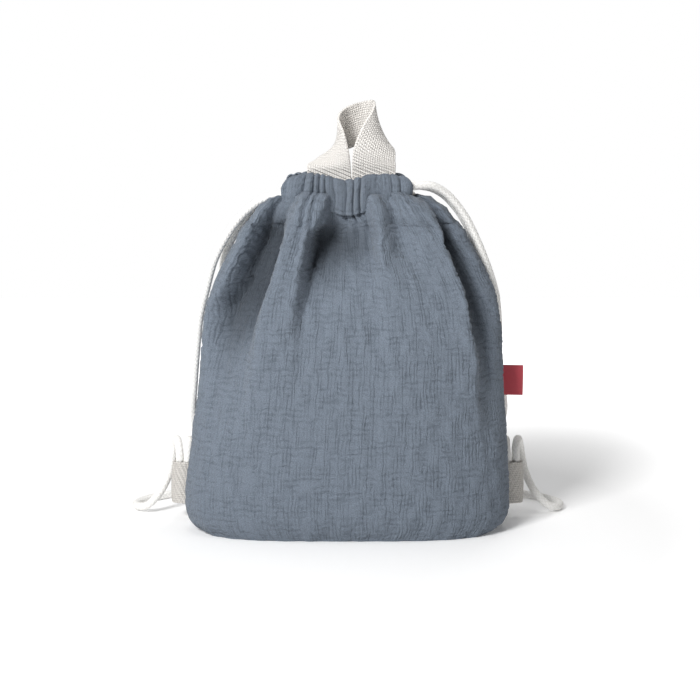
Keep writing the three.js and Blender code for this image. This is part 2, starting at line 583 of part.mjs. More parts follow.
addStrap(LEFT, "left", FRONT, INNER, "front", "inner", LEFT_FRONT_STRAND, LEFT_INNER_TAIL);
addStrap(LEFT, "left", BACK, OUTER, "back", "outer", LEFT_BACK_STRAND, LEFT_OUTER_TAIL);
addStrap(RIGHT, "right", FRONT, INNER, "front", "inner", RIGHT_FRONT_STRAND, RIGHT_INNER_TAIL);
addStrap(RIGHT, "right", BACK, OUTER, "back", "outer", RIGHT_BACK_STRAND, RIGHT_OUTER_TAIL);

// Carry loop: one length of webbing with its ends sewn side by side inside the back of the hem. Its upper
// edge rises from the split between the legs, opens out and goes round behind, and the webbing turns from
// facing the front at the feet to standing on edge at the back.

const LOOP_SEAT = TUNNEL_HALF_DEPTH + CLEARANCE + WEBBING_THICKNESS / 2; // inwards from the hem's middle line
const LOOP_FOLD_HEIGHT = NECK_HEIGHT + CLEARANCE + TUNNEL_HEIGHT + SCALLOP;

// From the left foot to the right foot: points of the upper edge, measured from the split at the fold in
// shares of the loop's rise, and the direction from that edge across the webbing at each of them.
const LOOP_EDGE = [
  { at: [-0.035, -0.02, 0.235], across: [-24, 17, -6] },
  { at: [-0.11, -0.02, 0.53], across: [-11, 27, -15] },
  { at: [-0.19, 0.11, 0.765], across: [1, 23, -23] },
  { at: [-0.055, 0.365, 0.91], across: [2, 7, -31] },
  { at: [0.165, 0.455, 0.98], across: [-2, 1, -32] },
  { at: [0.325, 0.29, 1], across: [1, 6, -32] },
  { at: [0.31, 0.09, 0.875], across: [11, 14, -26] },
  { at: [0.165, 0, 0.635], across: [23, 11, -18] },
  { at: [0.035, -0.02, 0.31], across: [30, 4, -9] },
];

function loopGeometry() {
  const foot = (side) => new THREE.Vector3((side * LOOP_SPLIT) / 2, 0, 0);
  const risen = LOOP_EDGE.map(({ at }) => new THREE.Vector3(...at).multiplyScalar(LOOP_RISE));
  const edge = new THREE.CatmullRomCurve3([foot(LEFT), ...risen, foot(RIGHT)], false, "centripetal");
  const across = [[LEFT, 0, 0], ...LOOP_EDGE.map((station) => station.across), [RIGHT, 0, 0]];
  const directions = vectors(across).map((v) => v.normalize());
  const turns = new THREE.CatmullRomCurve3(directions);
  const onWebbing = (t, w) => edge.getPoint(t).addScaledVector(turns.getPoint(t).normalize(), w);
  const nudge = 1 / LOOP_STEPS / 2;
  const point = (u, v, layer) => {
    const p = onWebbing(u, v * WEBBING_WIDTH);
    const [before, after] = [Math.max(0, u - nudge), Math.min(1, u + nudge)];
    const along = onWebbing(after, v * WEBBING_WIDTH).sub(onWebbing(before, v * WEBBING_WIDTH));
    const outside = turns.getPoint(u).cross(along).normalize();
    const thickness = lerp(LOOP_FOOT_THICKNESS, WEBBING_THICKNESS, smoothstep(p.z, 0, LOOP_CREASE));
    const seated = hemPoint(BACK, LOOP_OFFSET + p.x, -LOOP_SEAT, 0).y;
    const seat = lerp(seated, hemPoint(BACK, LOOP_OFFSET, -LOOP_SEAT, 0).y, smoothstep(p.z, 0, LOOP_CREASE));
    p.addScaledVector(outside, (0.5 - layer) * thickness);
    return p.add(new THREE.Vector3(LOOP_OFFSET, seat, LOOP_FOLD_HEIGHT + LOOP_FOLD_GAP));
  };
  return sheetGeometry(point, LOOP_STEPS, LOOP_COLUMNS);
}

function loopSewnEndGeometry(side) {
  const point = (u, v, layer) => {
    const x = LOOP_OFFSET + side * (LOOP_SPLIT / 2 + WEBBING_WIDTH * u);
    const p = hemPoint(BACK, x, (0.5 - layer) * WEBBING_THICKNESS - LOOP_SEAT, 0);
    return p.setZ(LOOP_FOLD_HEIGHT - LOOP_SEWN_LENGTH * v);
  };
  return sheetGeometry(point, LOOP_COLUMNS, 1);
}

addPiece("carry_loop", loopGeometry(), WEBBING_COTTON);
addPiece("carry_loop_left_sewn_end", loopSewnEndGeometry(LEFT), WEBBING_COTTON);
addPiece("carry_loop_right_sewn_end", loopSewnEndGeometry(RIGHT), WEBBING_COTTON);

// Side label

const label = addPiece(
  "side_label",
  new THREE.BoxGeometry(LABEL_LENGTH, LABEL_THICKNESS, LABEL_HEIGHT),
  LABEL_WEAVE,
);
const labelEnds = [-1, 0, 1].map((end) => seamPoint(RIGHT, LABEL_MIDDLE_HEIGHT + (end * LABEL_HEIGHT) / 2));
const labelRoot = Math.max(...labelEnds.map((end) => end.x));
label.position.set(labelRoot + LABEL_GAP + LABEL_LENGTH / 2, labelEnds[1].y, LABEL_MIDDLE_HEIGHT);

export default part;
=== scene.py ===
# %% [markdown]
# # A drawstring backpack in crinkled cotton
#
# The real thing is a tube of soft double gauze with a flat bottom, drawn together at the top on two cotton
# cords. The imported solid model gives the places of all its pieces; this lesson dresses them one by one. We
# load that model first. Cloth may swell a little but must not change the size.

import math

import bpy
import numpy as np
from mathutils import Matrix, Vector


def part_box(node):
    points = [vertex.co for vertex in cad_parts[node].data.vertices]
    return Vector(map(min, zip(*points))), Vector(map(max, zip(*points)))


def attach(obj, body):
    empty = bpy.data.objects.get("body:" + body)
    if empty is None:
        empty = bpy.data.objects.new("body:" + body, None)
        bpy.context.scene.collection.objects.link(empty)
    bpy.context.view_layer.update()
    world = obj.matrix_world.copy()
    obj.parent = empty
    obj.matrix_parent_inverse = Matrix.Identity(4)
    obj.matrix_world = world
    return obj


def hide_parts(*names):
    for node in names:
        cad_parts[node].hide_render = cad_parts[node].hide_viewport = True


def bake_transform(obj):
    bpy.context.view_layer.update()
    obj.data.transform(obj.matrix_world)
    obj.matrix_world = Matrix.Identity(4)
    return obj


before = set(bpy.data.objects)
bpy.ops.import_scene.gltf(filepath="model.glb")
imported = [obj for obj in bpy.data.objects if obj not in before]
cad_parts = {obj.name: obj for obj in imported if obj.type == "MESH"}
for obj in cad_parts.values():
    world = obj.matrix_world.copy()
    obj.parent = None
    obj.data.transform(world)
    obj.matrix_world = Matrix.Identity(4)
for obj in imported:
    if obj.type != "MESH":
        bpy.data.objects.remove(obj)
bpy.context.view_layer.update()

# %% [markdown]
# ## Camera
#
# The portrait is taken from a little above, with a long lens, so that upright lines stay nearly parallel. A
# camera is placed by the point it looks at, its distance and its angle above the floor, as on a tripod.

# %% Camera
VIEW_RISE = math.radians(10)
VIEW_DISTANCE = 1.23
VIEW_AIM = Vector((0.002, 0, 0.135))
VIEW_LENS = 85

towards_camera = Vector((0, -math.cos(VIEW_RISE), math.sin(VIEW_RISE)))
bpy.ops.object.camera_add(
    location=VIEW_AIM + VIEW_DISTANCE * towards_camera,
    rotation=(math.pi / 2 - VIEW_RISE, 0, 0),
)
camera = bpy.context.object
camera.data.lens = VIEW_LENS
bpy.context.scene.camera = camera
print("camera at", tuple(round(c, 3) for c in camera.location))

# %% [markdown]
# ## Light and floor
#
# A white sweep and big soft lamps give the even light of a shop picture. The main lamp stands high and a
# little to the left of the camera, so the folds are shaded towards the right, and a weak one lights the
# back. The room looks white behind the bag but gives less light than it shows, or it would fill every fold.
# The standard view transform keeps white paper white.

# %% Light and floor
ROOM_GLOW = 0.08
LAMPS = [
    {"name": "main_lamp", "place": (-0.95, -1.47, 1.40), "size": 0.6, "power": 46},
    {"name": "top_lamp", "place": (0.0, 0.1, 1.9), "size": 1.2, "power": 10},
    {"name": "back_lamp", "place": (0.5, 1.6, 1.3), "size": 1.0, "power": 8},
]

room = bpy.data.worlds.new("pale_room")
room.use_nodes = True
wires = room.node_tree
glow = wires.nodes["Background"]
glow.inputs["Color"].default_value = (1, 1, 1, 1)
glow.inputs["Strength"].default_value = ROOM_GLOW
white = wires.nodes.new("ShaderNodeBackground")
white.inputs["Color"].default_value = (1, 1, 1, 1)
seen = wires.nodes.new("ShaderNodeLightPath")
choice = wires.nodes.new("ShaderNodeMixShader")
wires.links.new(seen.outputs["Is Camera Ray"], choice.inputs["Fac"])
wires.links.new(glow.outputs["Background"], choice.inputs[1])
wires.links.new(white.outputs["Background"], choice.inputs[2])
wires.links.new(choice.outputs["Shader"], wires.nodes["World Output"].inputs["Surface"])
bpy.context.scene.world = room
bpy.context.scene.view_settings.view_transform = "Standard"

for lamp in LAMPS:
    aim = VIEW_AIM - Vector(lamp["place"])
    bpy.ops.object.light_add(
        type="AREA",
        location=lamp["place"],
        rotation=aim.to_track_quat("-Z", "Y").to_euler(),
    )
    light = bpy.context.object
    light.name = lamp["name"]
    light.data.size = lamp["size"]
    light.data.energy = lamp["power"]

bpy.ops.mesh.primitive_plane_add(size=2.4)
floor = bpy.context.object
floor.name = "paper_sweep"
print("lamps:", [lamp["name"] for lamp in LAMPS])

# %% [markdown]
# ## Writing materials as sums
#
# A material is a set of nodes joined by wires. Sums are easier to read than wires, so a small class stands
# for one wire and turns Python's operators into Math nodes. A second class is one material: it adds any
# other node and feeds the shader.


# %% A wire that can be added and multiplied
class Wire:
    """A value that changes over a surface."""

    def __init__(self, finish, socket):
        self.finish = finish
        self.socket = socket

    def maths(self, operation, first, second=0.0):
        return self.finish.add("ShaderNodeMath", {"operation": operation}, {0: first, 1: second})

    def __add__(self, other):
        return self.maths("ADD", self, other)

    def __sub__(self, other):
        return self.maths("SUBTRACT", self, other)

    def __rsub__(self, other):
        return self.maths("SUBTRACT", other, self)

    def __mul__(self, other):
        return self.maths("MULTIPLY", self, other)

    def __mod__(self, other):
        return self.maths("FLOORED_MODULO", self, other)

    def __abs__(self):
        return self.maths("ABSOLUTE", self)

    __radd__ = __add__
    __rmul__ = __mul__

    def sine(self):
        return self.maths("SINE", self)

    def whole(self):
        return self.maths("FLOOR", self)

    def part(self):
        return self.maths("FRACT", self)

    def at_most(self, limit):
        return self.maths("MINIMUM", self, limit)

    def at_least(self, limit):
        return self.maths("MAXIMUM", self, limit)

    def share(self):
        return self.at_most(1.0).at_least(0.0)


# %% A material that is written node by node
class Finish:
    """One material of the bag."""

    def __init__(self, name, roughness, sheen=0.0):
        self.material = bpy.data.materials.new(name)
        self.material.use_nodes = True
        self.shader = self.material.node_tree.nodes["Principled BSDF"]
        self.set("Roughness", roughness)
        self.set("Specular IOR Level", 0.2)
        self.set("Sheen Weight", sheen)
        self.set("Sheen Roughness", 0.5)

    def set(self, socket, value):
        self.feed(self.shader.inputs[socket], value)

    def feed(self, socket, value):
        if isinstance(value, Wire):
            self.material.node_tree.links.new(value.socket, socket)
        else:
            socket.default_value = value

    def add(self, kind, settings=None, sockets=None, output=0):
        node = self.material.node_tree.nodes.new(kind)
        for name, value in (settings or {}).items():
            setattr(node, name, value)
        for name, value in (sockets or {}).items():
            self.feed(node.inputs[name], value)
        return Wire(self, node.outputs[output])

    def cloth_place(self):
        return self.add("ShaderNodeTexCoord", output="UV")

    def one_way(self, place, axis):
        return self.add("ShaderNodeSeparateXYZ", {}, {"Vector": place}, axis)

    def distance(self):
        place = self.add("ShaderNodeTexCoord", {}, {}, "Object")
        return self.add("ShaderNodeVectorMath", {"operation": "LENGTH"}, {0: place}, "Value")

    def noise(self, place, across, along, detail=2.0):
        scaled = self.add("ShaderNodeMapping", {}, {"Vector": place, "Scale": (1 / across, 1 / along, 1)})
        sockets = {"Vector": scaled, "Scale": 1.0, "Detail": detail}
        return self.add("ShaderNodeTexNoise", {"noise_dimensions": "2D"}, sockets)

    def blend(self, share, first, second):
        return self.add("ShaderNodeMix", {"data_type": "RGBA"}, {0: share, 6: first, 7: second}, 2)

    def bump(self, height, depth, strength=1.0):
        sockets = {"Height": height, "Distance": depth, "Strength": strength}
        self.set("Normal", self.add("ShaderNodeBump", {}, sockets))


print("materials are written with", Finish.__name__, "and", Wire.__name__)

# %% [markdown]
# ## Gauze
#
# Double gauze is two loose layers tied together here and there. After washing it puffs up between the ties,
# so it is covered with short creases along both threads, longest along the warp. They are evenly spaced
# lines that wander with one noise and fade in and out with another; they bump the surface and darken the
# colour with painted shade. The cloth's own flat coordinates, in metres, carry the pattern through the
# folds, and an attribute paints shade into the colour of what lies deep in a fold.


# %% Creases
CREASE_WANDER = 1.6  # how many spacings a line strays
CREASE_SHARPNESS = 2.8
CREASE_FADE = 0.34  # where the noise is lower than this there is no crease
CREASE_GAIN = 3.4


def creases(finish, place, axis, spacing, across, along):
    wander = finish.noise(place, across, along)
    strength = finish.noise(place, across * 0.8, along * 1.3, detail=1)
    wave = (finish.one_way(place, axis) * (1 / spacing) + wander * CREASE_WANDER).part()
    crease = 1 - (abs(wave - 0.5) * CREASE_SHARPNESS).at_most(1.0)
    return crease * ((strength - CREASE_FADE) * CREASE_GAIN).share()


# %% Gauze
# Painted shade: deep in a fold the colour is blended towards this near-black, by up to this share.
PAINTED_FOLD_SHADE_COLOUR = (0.010, 0.012, 0.015, 1)
PAINTED_FOLD_SHADE_STRENGTH = 0.72


def gauze(name, shadow, light):
    finish = Finish(name, roughness=0.92, sheen=0.12)
    place = finish.cloth_place()
    warp = creases(finish, place, "X", spacing=0.0025, across=0.005, along=0.016)
    weft = creases(finish, place, "Y", spacing=0.0048, across=0.012, along=0.009)
    slub = finish.noise(place, across=0.0007, along=0.0009)
    puff = 1 - (warp * 0.5 + weft * 0.5)
    # The colour is darker in the creases, which is painted shade, and varies with the slub noise, the yarn's
    # own tone.
    tone = (puff * 0.50 + slub * 1.3 - 0.54).share()
    # This attribute holds painted shade, set where the cloth lies deep in a fold.
    deep = finish.add("ShaderNodeAttribute", {"attribute_name": "painted_fold_shade"}, {}, "Fac")
    colour = finish.blend(tone, shadow, light)
    finish.set("Base Color", finish.blend(deep * PAINTED_FOLD_SHADE_STRENGTH, colour, PAINTED_FOLD_SHADE_COLOUR))
    finish.bump(puff * 0.75 + slub * 0.35, depth=0.0014, strength=0.8)
    return finish


slate_gauze = gauze("slate_gauze", shadow=(0.098, 0.119, 0.146, 1), light=(0.21, 0.247, 0.30, 1))
lining_lawn = gauze("lining_lawn", shadow=(0.42, 0.45, 0.49, 1), light=(0.56, 0.58, 0.62, 1))
print("gauze:", len(slate_gauze.material.node_tree.nodes), "nodes")

# %% [markdown]
# ## Braid and webbing
#
# Cord and tape are both made of yarns that pass over and under each other. In a grid of cells, one yarn is
# on top in every other cell, like a chess board, and each yarn is round across. On the cord the grid runs
# along two opposite spirals; on the tape it is square to the edges.


# %% Yarns over and under
def yarns(first, second):
    board = (first.whole() + second.whole()) % 2
    across_first = (first.part() * math.pi).sine()
    across_second = (second.part() * math.pi).sine()
    return across_first * board + across_second * (1 - board)


# %% Braided cord
CORD_DIAMETER = 0.006
BRAID_STRANDS = 6  # strands that wind each way round the cord
BRAID_RISE = 0.0034  # length of cord over which one strand passes the next


def braided_cotton():
    finish = Finish("braided_cotton", roughness=0.85, sheen=0.1)
    place = finish.cloth_place()
    strands = finish.one_way(place, "X") * BRAID_STRANDS
    spiral = finish.one_way(place, "Y") * (1 / BRAID_RISE)
    height = yarns(strands + spiral, strands - spiral)
    fibres = finish.noise(place, across=0.04, along=0.0007)
    # The colour is darker where a strand dips under the next, painted shade between strands, and varies with
    # the fibre noise, the cotton's own tone.
    tone = (height * 0.8 + fibres * 0.5 - 0.1).share()
    finish.set("Base Color", finish.blend(tone, (0.82, 0.805, 0.77, 1), (0.96, 0.95, 0.925, 1)))
    finish.bump(height + fibres * 0.3, depth=0.00022)
    return finish


braid = braided_cotton()
print("braid:", 2 * BRAID_STRANDS, "strands")

# %% Cotton webbing
WEBBING_WIDTH = 0.032
WEBBING_THICKNESS = 0.0018
RIB_WIDTH = 0.0017  # a warp rib of the tape
PICK_LENGTH = 0.0012  # a weft thread of the tape
RIB_HEIGHT = 0.0005


def woven_tape(name, shadow, light, rib, pick, depth):
    finish = Finish(name, roughness=0.88, sheen=0.08)
    place = finish.cloth_place()
    across, along = finish.one_way(place, "X"), finish.one_way(place, "Y")
    height = yarns(across * (1 / rib), along * (1 / pick) + across * (0.5 / rib))
    fibres = finish.noise(place, across=rib / 2, along=pick / 2)
    # The colour is darker where a yarn dips under the next, painted shade between yarns, and varies with the
    # fibre noise, the yarn's own tone.
    tone = (height * 0.65 + fibres * 0.6 - 0.08).share()
    finish.set("Base Color", finish.blend(tone, shadow, light))
    finish.bump(height + fibres * 0.4, depth=depth)
    return finish


webbing = woven_tape(
    "cotton_webbing", (0.83, 0.79, 0.74, 1), (0.97, 0.94, 0.90, 1), RIB_WIDTH, PICK_LENGTH, RIB_HEIGHT
)
# Painted shade: the same tape in darker colours, for the tabs that sit low in the bag's shade.
painted_shade_webbing = woven_tape(
    "painted_shade_webbing", (0.57, 0.54, 0.50, 1), (0.71, 0.68, 0.64, 1), RIB_WIDTH, PICK_LENGTH, RIB_HEIGHT
)
label_weave = woven_tape(
    "red_label_weave", (0.46, 0.06, 0.08, 1), (0.80, 0.13, 0.16, 1), rib=0.0006, pick=0.0005, depth=0.0002
)
print("webbing ribs:", round(WEBBING_WIDTH / RIB_WIDTH))

# %% [markdown]
# ## Smooth routes
#
# Cords, and the edge of the carry loop, follow a smooth curve through listed points. The curve is a
# centripetal Catmull-Rom spline, which makes no loops where points lie close together.


# %% A smooth curve through points
def curve_points(points, shares):
    points = np.asarray(points, float)
    ends = [2 * points[0] - points[1], 2 * points[-1] - points[-2]]
    padded = np.vstack([ends[0], points, ends[1]])
    spans = len(points) - 1
    place = np.clip(np.asarray(shares, float), 0, 1) * spans
    k = np.minimum(place.astype(int), spans - 1)
    t = (place - k)[:, None]
    before, start, stop, after = (padded[k + i] for i in range(4))
    gap = [np.sqrt(np.linalg.norm(b - a, axis=1))[:, None] for a, b in
           [(before, start), (start, stop), (stop, after)]]
    leave = (start - before) / gap[0] - (stop - before) / (gap[0] + gap[1]) + (stop - start) / gap[1]
    reach = (stop - start) / gap[1] - (after - start) / (gap[1] + gap[2]) + (after - stop) / gap[2]
    leave, reach = leave * gap[1], reach * gap[1]
    return ((2 * t**3 - 3 * t**2 + 1) * start + (t**3 - 2 * t**2 + t) * leave
            + (3 * t**2 - 2 * t**3) * stop + (t**3 - t**2) * reach)


def even_route(points, step):
    fine = curve_points(points, np.linspace(0, 1, 60 * len(points)))
    length = np.concatenate([[0], np.cumsum(np.linalg.norm(np.diff(fine, axis=0), axis=1))])
    stations = np.linspace(0, length[-1], max(8, round(length[-1] / step)))
    return np.column_stack([np.interp(stations, length, fine[:, axis]) for axis in range(3)]), length[-1]


# %% [markdown]
# ## Helpers for pieces
#
# Every piece gets a finish, rides on a body of the model and stands for one or more of its solids.
# Operators act on all that is selected, so everything is deselected before a new piece is added.


# %% Adding and finishing a piece
def deselect_all():
    bpy.ops.object.select_all(action="DESELECT")


def select_only(piece):
    deselect_all()
    piece.select_set(True)
    bpy.context.view_layer.objects.active = piece


def apply_modifier(piece, kind, **settings):
    select_only(piece)
    modifier = piece.modifiers.new(kind.lower(), kind)
    for name, value in settings.items():
        setattr(modifier, name, value)
    bpy.ops.object.modifier_apply(modifier=modifier.name)


def dress(piece, finish, slot, body, *nodes):
    select_only(piece)
    piece.data.materials.clear()
    piece.data.materials.append(finish.material)
    bpy.ops.object.shade_smooth()
    if body:
        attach(piece, body)
    if nodes:
        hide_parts(*nodes)
    print(piece.name, "has", len(piece.data.polygons), "faces")


# %% A flat grid that is shaped point by point
def cloth_grid(name, columns, rows, width, length):
    deselect_all()
    bpy.ops.mesh.primitive_grid_add(x_subdivisions=columns, y_subdivisions=rows, size=1)
    piece = bpy.context.object
    piece.name = name
    flat = np.empty(2 * len(piece.data.loops))
    piece.data.uv_layers.active.data.foreach_get("uv", flat)
    scaled = flat.reshape(-1, 2) * (width, length)
    piece.data.uv_layers.active.data.foreach_set("uv", scaled.ravel())
    return piece


def grid_shares(piece):
    flat = np.empty(3 * len(piece.data.vertices))
    piece.data.vertices.foreach_get("co", flat)
    flat = flat.reshape(-1, 3) + 0.5
    return flat[:, 0], flat[:, 1]


def move_points(piece, points):
    piece.data.vertices.foreach_set("co", np.asarray(points, float).ravel())
    piece.data.update()


# %% [markdown]
# ## The shape of the bag
#
# The filled bag is a stack of rounded outlines: flat at the base, fullest just above it, and drawn in to a
# slit under the hem. It could be pushed into shape by hand, but a short list of measures is easier to
# compare and to change. Between a few measured heights each measure follows a smooth curve. The bag leans a
# little to the right, as a soft bag does, and the side seams lie towards the back.

# %% A smooth curve through values
def through(knots, values, place, steep=1.0):
    knots, values = np.asarray(knots, float), np.asarray(values, float)
    spans = np.diff(knots)
    slopes = np.diff(values) / spans
    below, above = slopes[:-1], slopes[1:]
    rising = below * above > 0
    inner = np.where(rising, 2 * below * above / np.where(rising, below + above, 1), 0)
    tangents = np.concatenate([[steep * slopes[0]], inner, [steep * slopes[-1]]])
    k = np.clip(np.searchsorted(knots, place, side="right") - 1, 0, len(spans) - 1)
    t = np.clip((place - knots[k]) / spans[k], 0, 1)
    return ((1 + 2 * t) * (1 - t) ** 2 * values[k] + t * (1 - t) ** 2 * spans[k] * tangents[k]
            + t * t * (3 - 2 * t) * values[k + 1] + t * t * (t - 1) * spans[k] * tangents[k + 1])


def smooth_step(value, low, high):
    t = np.clip((value - low) / (high - low), 0, 1)
    return t * t * (3 - 2 * t)


# %% Outlines of the bag
HEIGHTS = np.array([0, 0.020, 0.105, 0.165, 0.214, 0.241])
WIDTHS = np.array([0.214, 0.244, 0.227, 0.214, 0.172, 0.100])
DEPTHS = np.array([0.086, 0.100, 0.098, 0.086, 0.058, 0.0332])
SQUARENESS = np.array([3.4, 2.5, 2.5, 2.5, 2.5, 4])
LEANS = np.array([0, 0, 0.003, 0.005, 0.0035, 0])
NECK_HEIGHT = HEIGHTS[-1]
WIDTH_STEEPNESS = 2.8  # how sharply the sides turn in at the base and under the hem
DEPTH_STEEPNESS = 1.7
SEAM_PLACE = 0.36  # how far the seams lie behind the middle, as a share of the half depth


def half_width(height):
    return through(HEIGHTS, WIDTHS, height, WIDTH_STEEPNESS) / 2


def half_depth(height):
    return through(HEIGHTS, DEPTHS, height, DEPTH_STEEPNESS) / 2


def squareness_at(height):
    return through(HEIGHTS, SQUARENESS, height, WIDTH_STEEPNESS)


def lean_at(height):
    return through(HEIGHTS, LEANS, height, WIDTH_STEEPNESS)


# %% Places on one outline
def outline(height, angles):
    squareness = squareness_at(height)
    half = np.array([half_width(height), half_depth(height)])
    unit = np.column_stack([np.cos(angles), np.sin(angles)])
    unit /= (np.abs(unit) ** squareness).sum(axis=1)[:, None] ** (1 / squareness)
    outward = unit / half
    outward /= np.linalg.norm(outward, axis=1)[:, None]
    return unit * half, outward


def seam_angle(height):
    squareness = squareness_at(height)
    return math.atan2(SEAM_PLACE, (1 - SEAM_PLACE**squareness) ** (1 / squareness))


def panel_angles(front, height, shares):
    seam = seam_angle(height)
    sweep = -(math.pi + 2 * seam) if front else math.pi - 2 * seam
    return seam + np.asarray(shares) * sweep


def even_shares(front, height, count):
    fine = np.linspace(0, 1, 600)
    points, _ = outline(height, panel_angles(front, height, fine))
    length = np.concatenate([[0], np.cumsum(np.linalg.norm(np.diff(points, axis=0), axis=1))])
    return np.interp(np.linspace(0, length[-1], count), length, fine), length[-1]


print("belly:", round(even_shares(True, 0.06, 10)[1] + even_shares(False, 0.06, 10)[1], 3), "m round")

# %% [markdown]
# ## Folds
#
# Where the hem draws the tube together, its spare cloth goes into folds. A few are large and run halfway
# down the bag. Each ridge and each valley is a line from the neck downwards: its place across the panel,
# from the right seam (0) to the left seam (1), and its height above the smooth outline are given at a few
# heights. A smooth curve through all the lines gives the section at any height, so a ridge can stand close
# over a valley.

# %% Large folds
FOLD_HEIGHTS = [0.070, 0.130, 0.160, 0.190, 0.218, 0.241]
FRONT_FOLDS = [  # place across the panel, and height in millimetres
    {"at": [0.1, 0.1, 0.1, 0.1, 0.12, 0.14], "rise": [0, 0, 0, 0, 0, 0]},
    {"at": [0.188, 0.188, 0.187, 0.189, 0.205, 0.19], "rise": [0, -3, -5, -6, -4, -1.5]},
    {"at": [0.23, 0.229, 0.24, 0.24, 0.248, 0.218], "rise": [0, -7, -12, -14, -14, -4]},
    {"at": [0.26, 0.26, 0.277, 0.281, 0.277, 0.242], "rise": [0, -5, -10, -12, -12, -3.5]},
    {"at": [0.285, 0.288, 0.303, 0.304, 0.3, 0.272], "rise": [0, 4, 7.5, 8.5, 8, 2.5]},
    {"at": [0.35, 0.35, 0.35, 0.352, 0.345, 0.33], "rise": [0, 2, 4, 5, 5, 1.5]},
    {"at": [0.394, 0.394, 0.397, 0.4, 0.392, 0.38], "rise": [0, 2, 3.5, 4, -3, -3]},
    {"at": [0.44, 0.44, 0.442, 0.444, 0.436, 0.42], "rise": [0, 1, 2.5, 3.5, 5, 2]},
    {"at": [0.462, 0.463, 0.465, 0.466, 0.46, 0.444], "rise": [0, 0, 0, -3, -9, -3]},
    {"at": [0.5, 0.505, 0.512, 0.515, 0.515, 0.484], "rise": [0, 0, 0, -5, -13, -3.5]},
    {"at": [0.55, 0.555, 0.563, 0.563, 0.556, 0.522], "rise": [0, 0, -1, -8, -17, -4]},
    {"at": [0.58, 0.582, 0.583, 0.582, 0.581, 0.54], "rise": [0, 0, -1, -8, -17, -4]},
    {"at": [0.605, 0.605, 0.605, 0.605, 0.605, 0.57], "rise": [0, 1.5, 5, 8, 8, 2.5]},
    {"at": [0.66, 0.662, 0.657, 0.646, 0.642, 0.645], "rise": [0, 3.5, 7, 9, 8.5, 2.5]},
    {"at": [0.7, 0.695, 0.688, 0.672, 0.67, 0.672], "rise": [0, -5, -12, -16, -16, -3.5]},
    {"at": [0.745, 0.745, 0.755, 0.728, 0.725, 0.71], "rise": [0, -7, -13, -17, -17, -4]},
    {"at": [0.83, 0.83, 0.835, 0.785, 0.775, 0.77], "rise": [0, 2, 4, 5, 4, 1]},
    {"at": [0.92, 0.92, 0.92, 0.91, 0.9, 0.88], "rise": [0, 0, 0, 0, 0, 0]},
]
BACK_FOLDS = [
    {"at": [0.16, 0.16, 0.16, 0.16, 0.17, 0.2], "rise": [0, -1, -3, -6, -6, -2]},
    {"at": [0.28, 0.28, 0.28, 0.28, 0.29, 0.31], "rise": [0, 0, 2, 6, 6, 2]},
    {"at": [0.38, 0.38, 0.38, 0.385, 0.39, 0.41], "rise": [0, 0, -2, -8, -10, -3]},
    {"at": [0.52, 0.52, 0.52, 0.515, 0.51, 0.5], "rise": [0, 1, 3, 5, 5, 2]},
    {"at": [0.61, 0.61, 0.61, 0.605, 0.6, 0.59], "rise": [0, 0, -3, -9, -11, -3]},
    {"at": [0.73, 0.73, 0.73, 0.72, 0.71, 0.69], "rise": [0, 0, 2, 6, 6, 2]},
    {"at": [0.86, 0.86, 0.86, 0.86, 0.85, 0.8], "rise": [0, -1, -3, -6, -6, -2]},
]


def fold_rise(folds, shares, height):
    places = [through(FOLD_HEIGHTS, fold["at"], height) for fold in folds]
    rises = [through(FOLD_HEIGHTS, fold["rise"], height) / 1000 for fold in folds]
    return through([0, *places, 1], [0, *rises, 0], shares)


print("lines of ridges and valleys:", len(FRONT_FOLDS), "in front,", len(BACK_FOLDS), "behind")

# %% [markdown]
# ## Gathers
#
# The hem is pushed together on the cord, so its cloth stands in round ribs with sharp clefts between them.
# The same wave is used for the hem and for the pleats just under it, so each rib runs on into a pleat. The
# wave's phase wobbles, because no two gathers are the same width.

# %% Gathers
GATHERS = 14
GATHER_DEPTH = 0.0036
PLEAT_DEPTH = 0.0042
PLEAT_LENGTH = 0.026


def gather_phase(share, front):
    shift = 0.0 if front else 2.1
    wobble = 0.50 * np.sin(9.1 * share + 0.6 + shift) + 0.30 * np.sin(23.7 * share + 2.2 + shift)
    return GATHERS * share + wobble


def gathers(share, front, drift=0.0):
    rib = np.abs(np.sin(np.pi * (gather_phase(share, front) + drift))) ** 0.55
    size = 0.8 + 0.3 * np.sin(17.3 * share + (1.1 if front else 4.2))
    return (rib - 0.35) * size


def pleat_rise(share, front, below_neck):
    length = PLEAT_LENGTH * (1 + 0.5 * np.sin(5.2 * GATHERS * share + 1.3))
    drift = 0.5 * below_neck / PLEAT_LENGTH * np.sin(12.0 * share)
    return PLEAT_DEPTH * gathers(share, front, drift) * np.exp(-((below_neck / length) ** 1.3))


print("gathers:", GATHERS, "in each half of the hem")

# %% [markdown]
# ## The outer cloth
#
# The bag is cut as one flat piece, rolled into a tube and sewn down the sides. We start from a flat grid
# whose coordinates remember that cut, and bring each point to its place on the folded outlines. Rows are
# spread evenly along the cloth, not along the height, so the faces stay square where the shoulders slope
# in.

# %% Rows along the cloth
PANEL_COLUMNS = 150
ROWS = 118
CLOTH_ROUND = 0.60  # the tube's cut, all the way round
VALLEY_DEPTH = 1.2  # the thin cloth goes deeper into its valleys than the thick solid can
RIDGE_HEIGHT = 1.1
# Painted shade: from the first depth to the second, a fold's cloth gets more of the painted darkening.
PAINTED_FOLD_SHADE_DEPTHS = (0.003, 0.021)  # cloth this deep in a fold gets less and less light

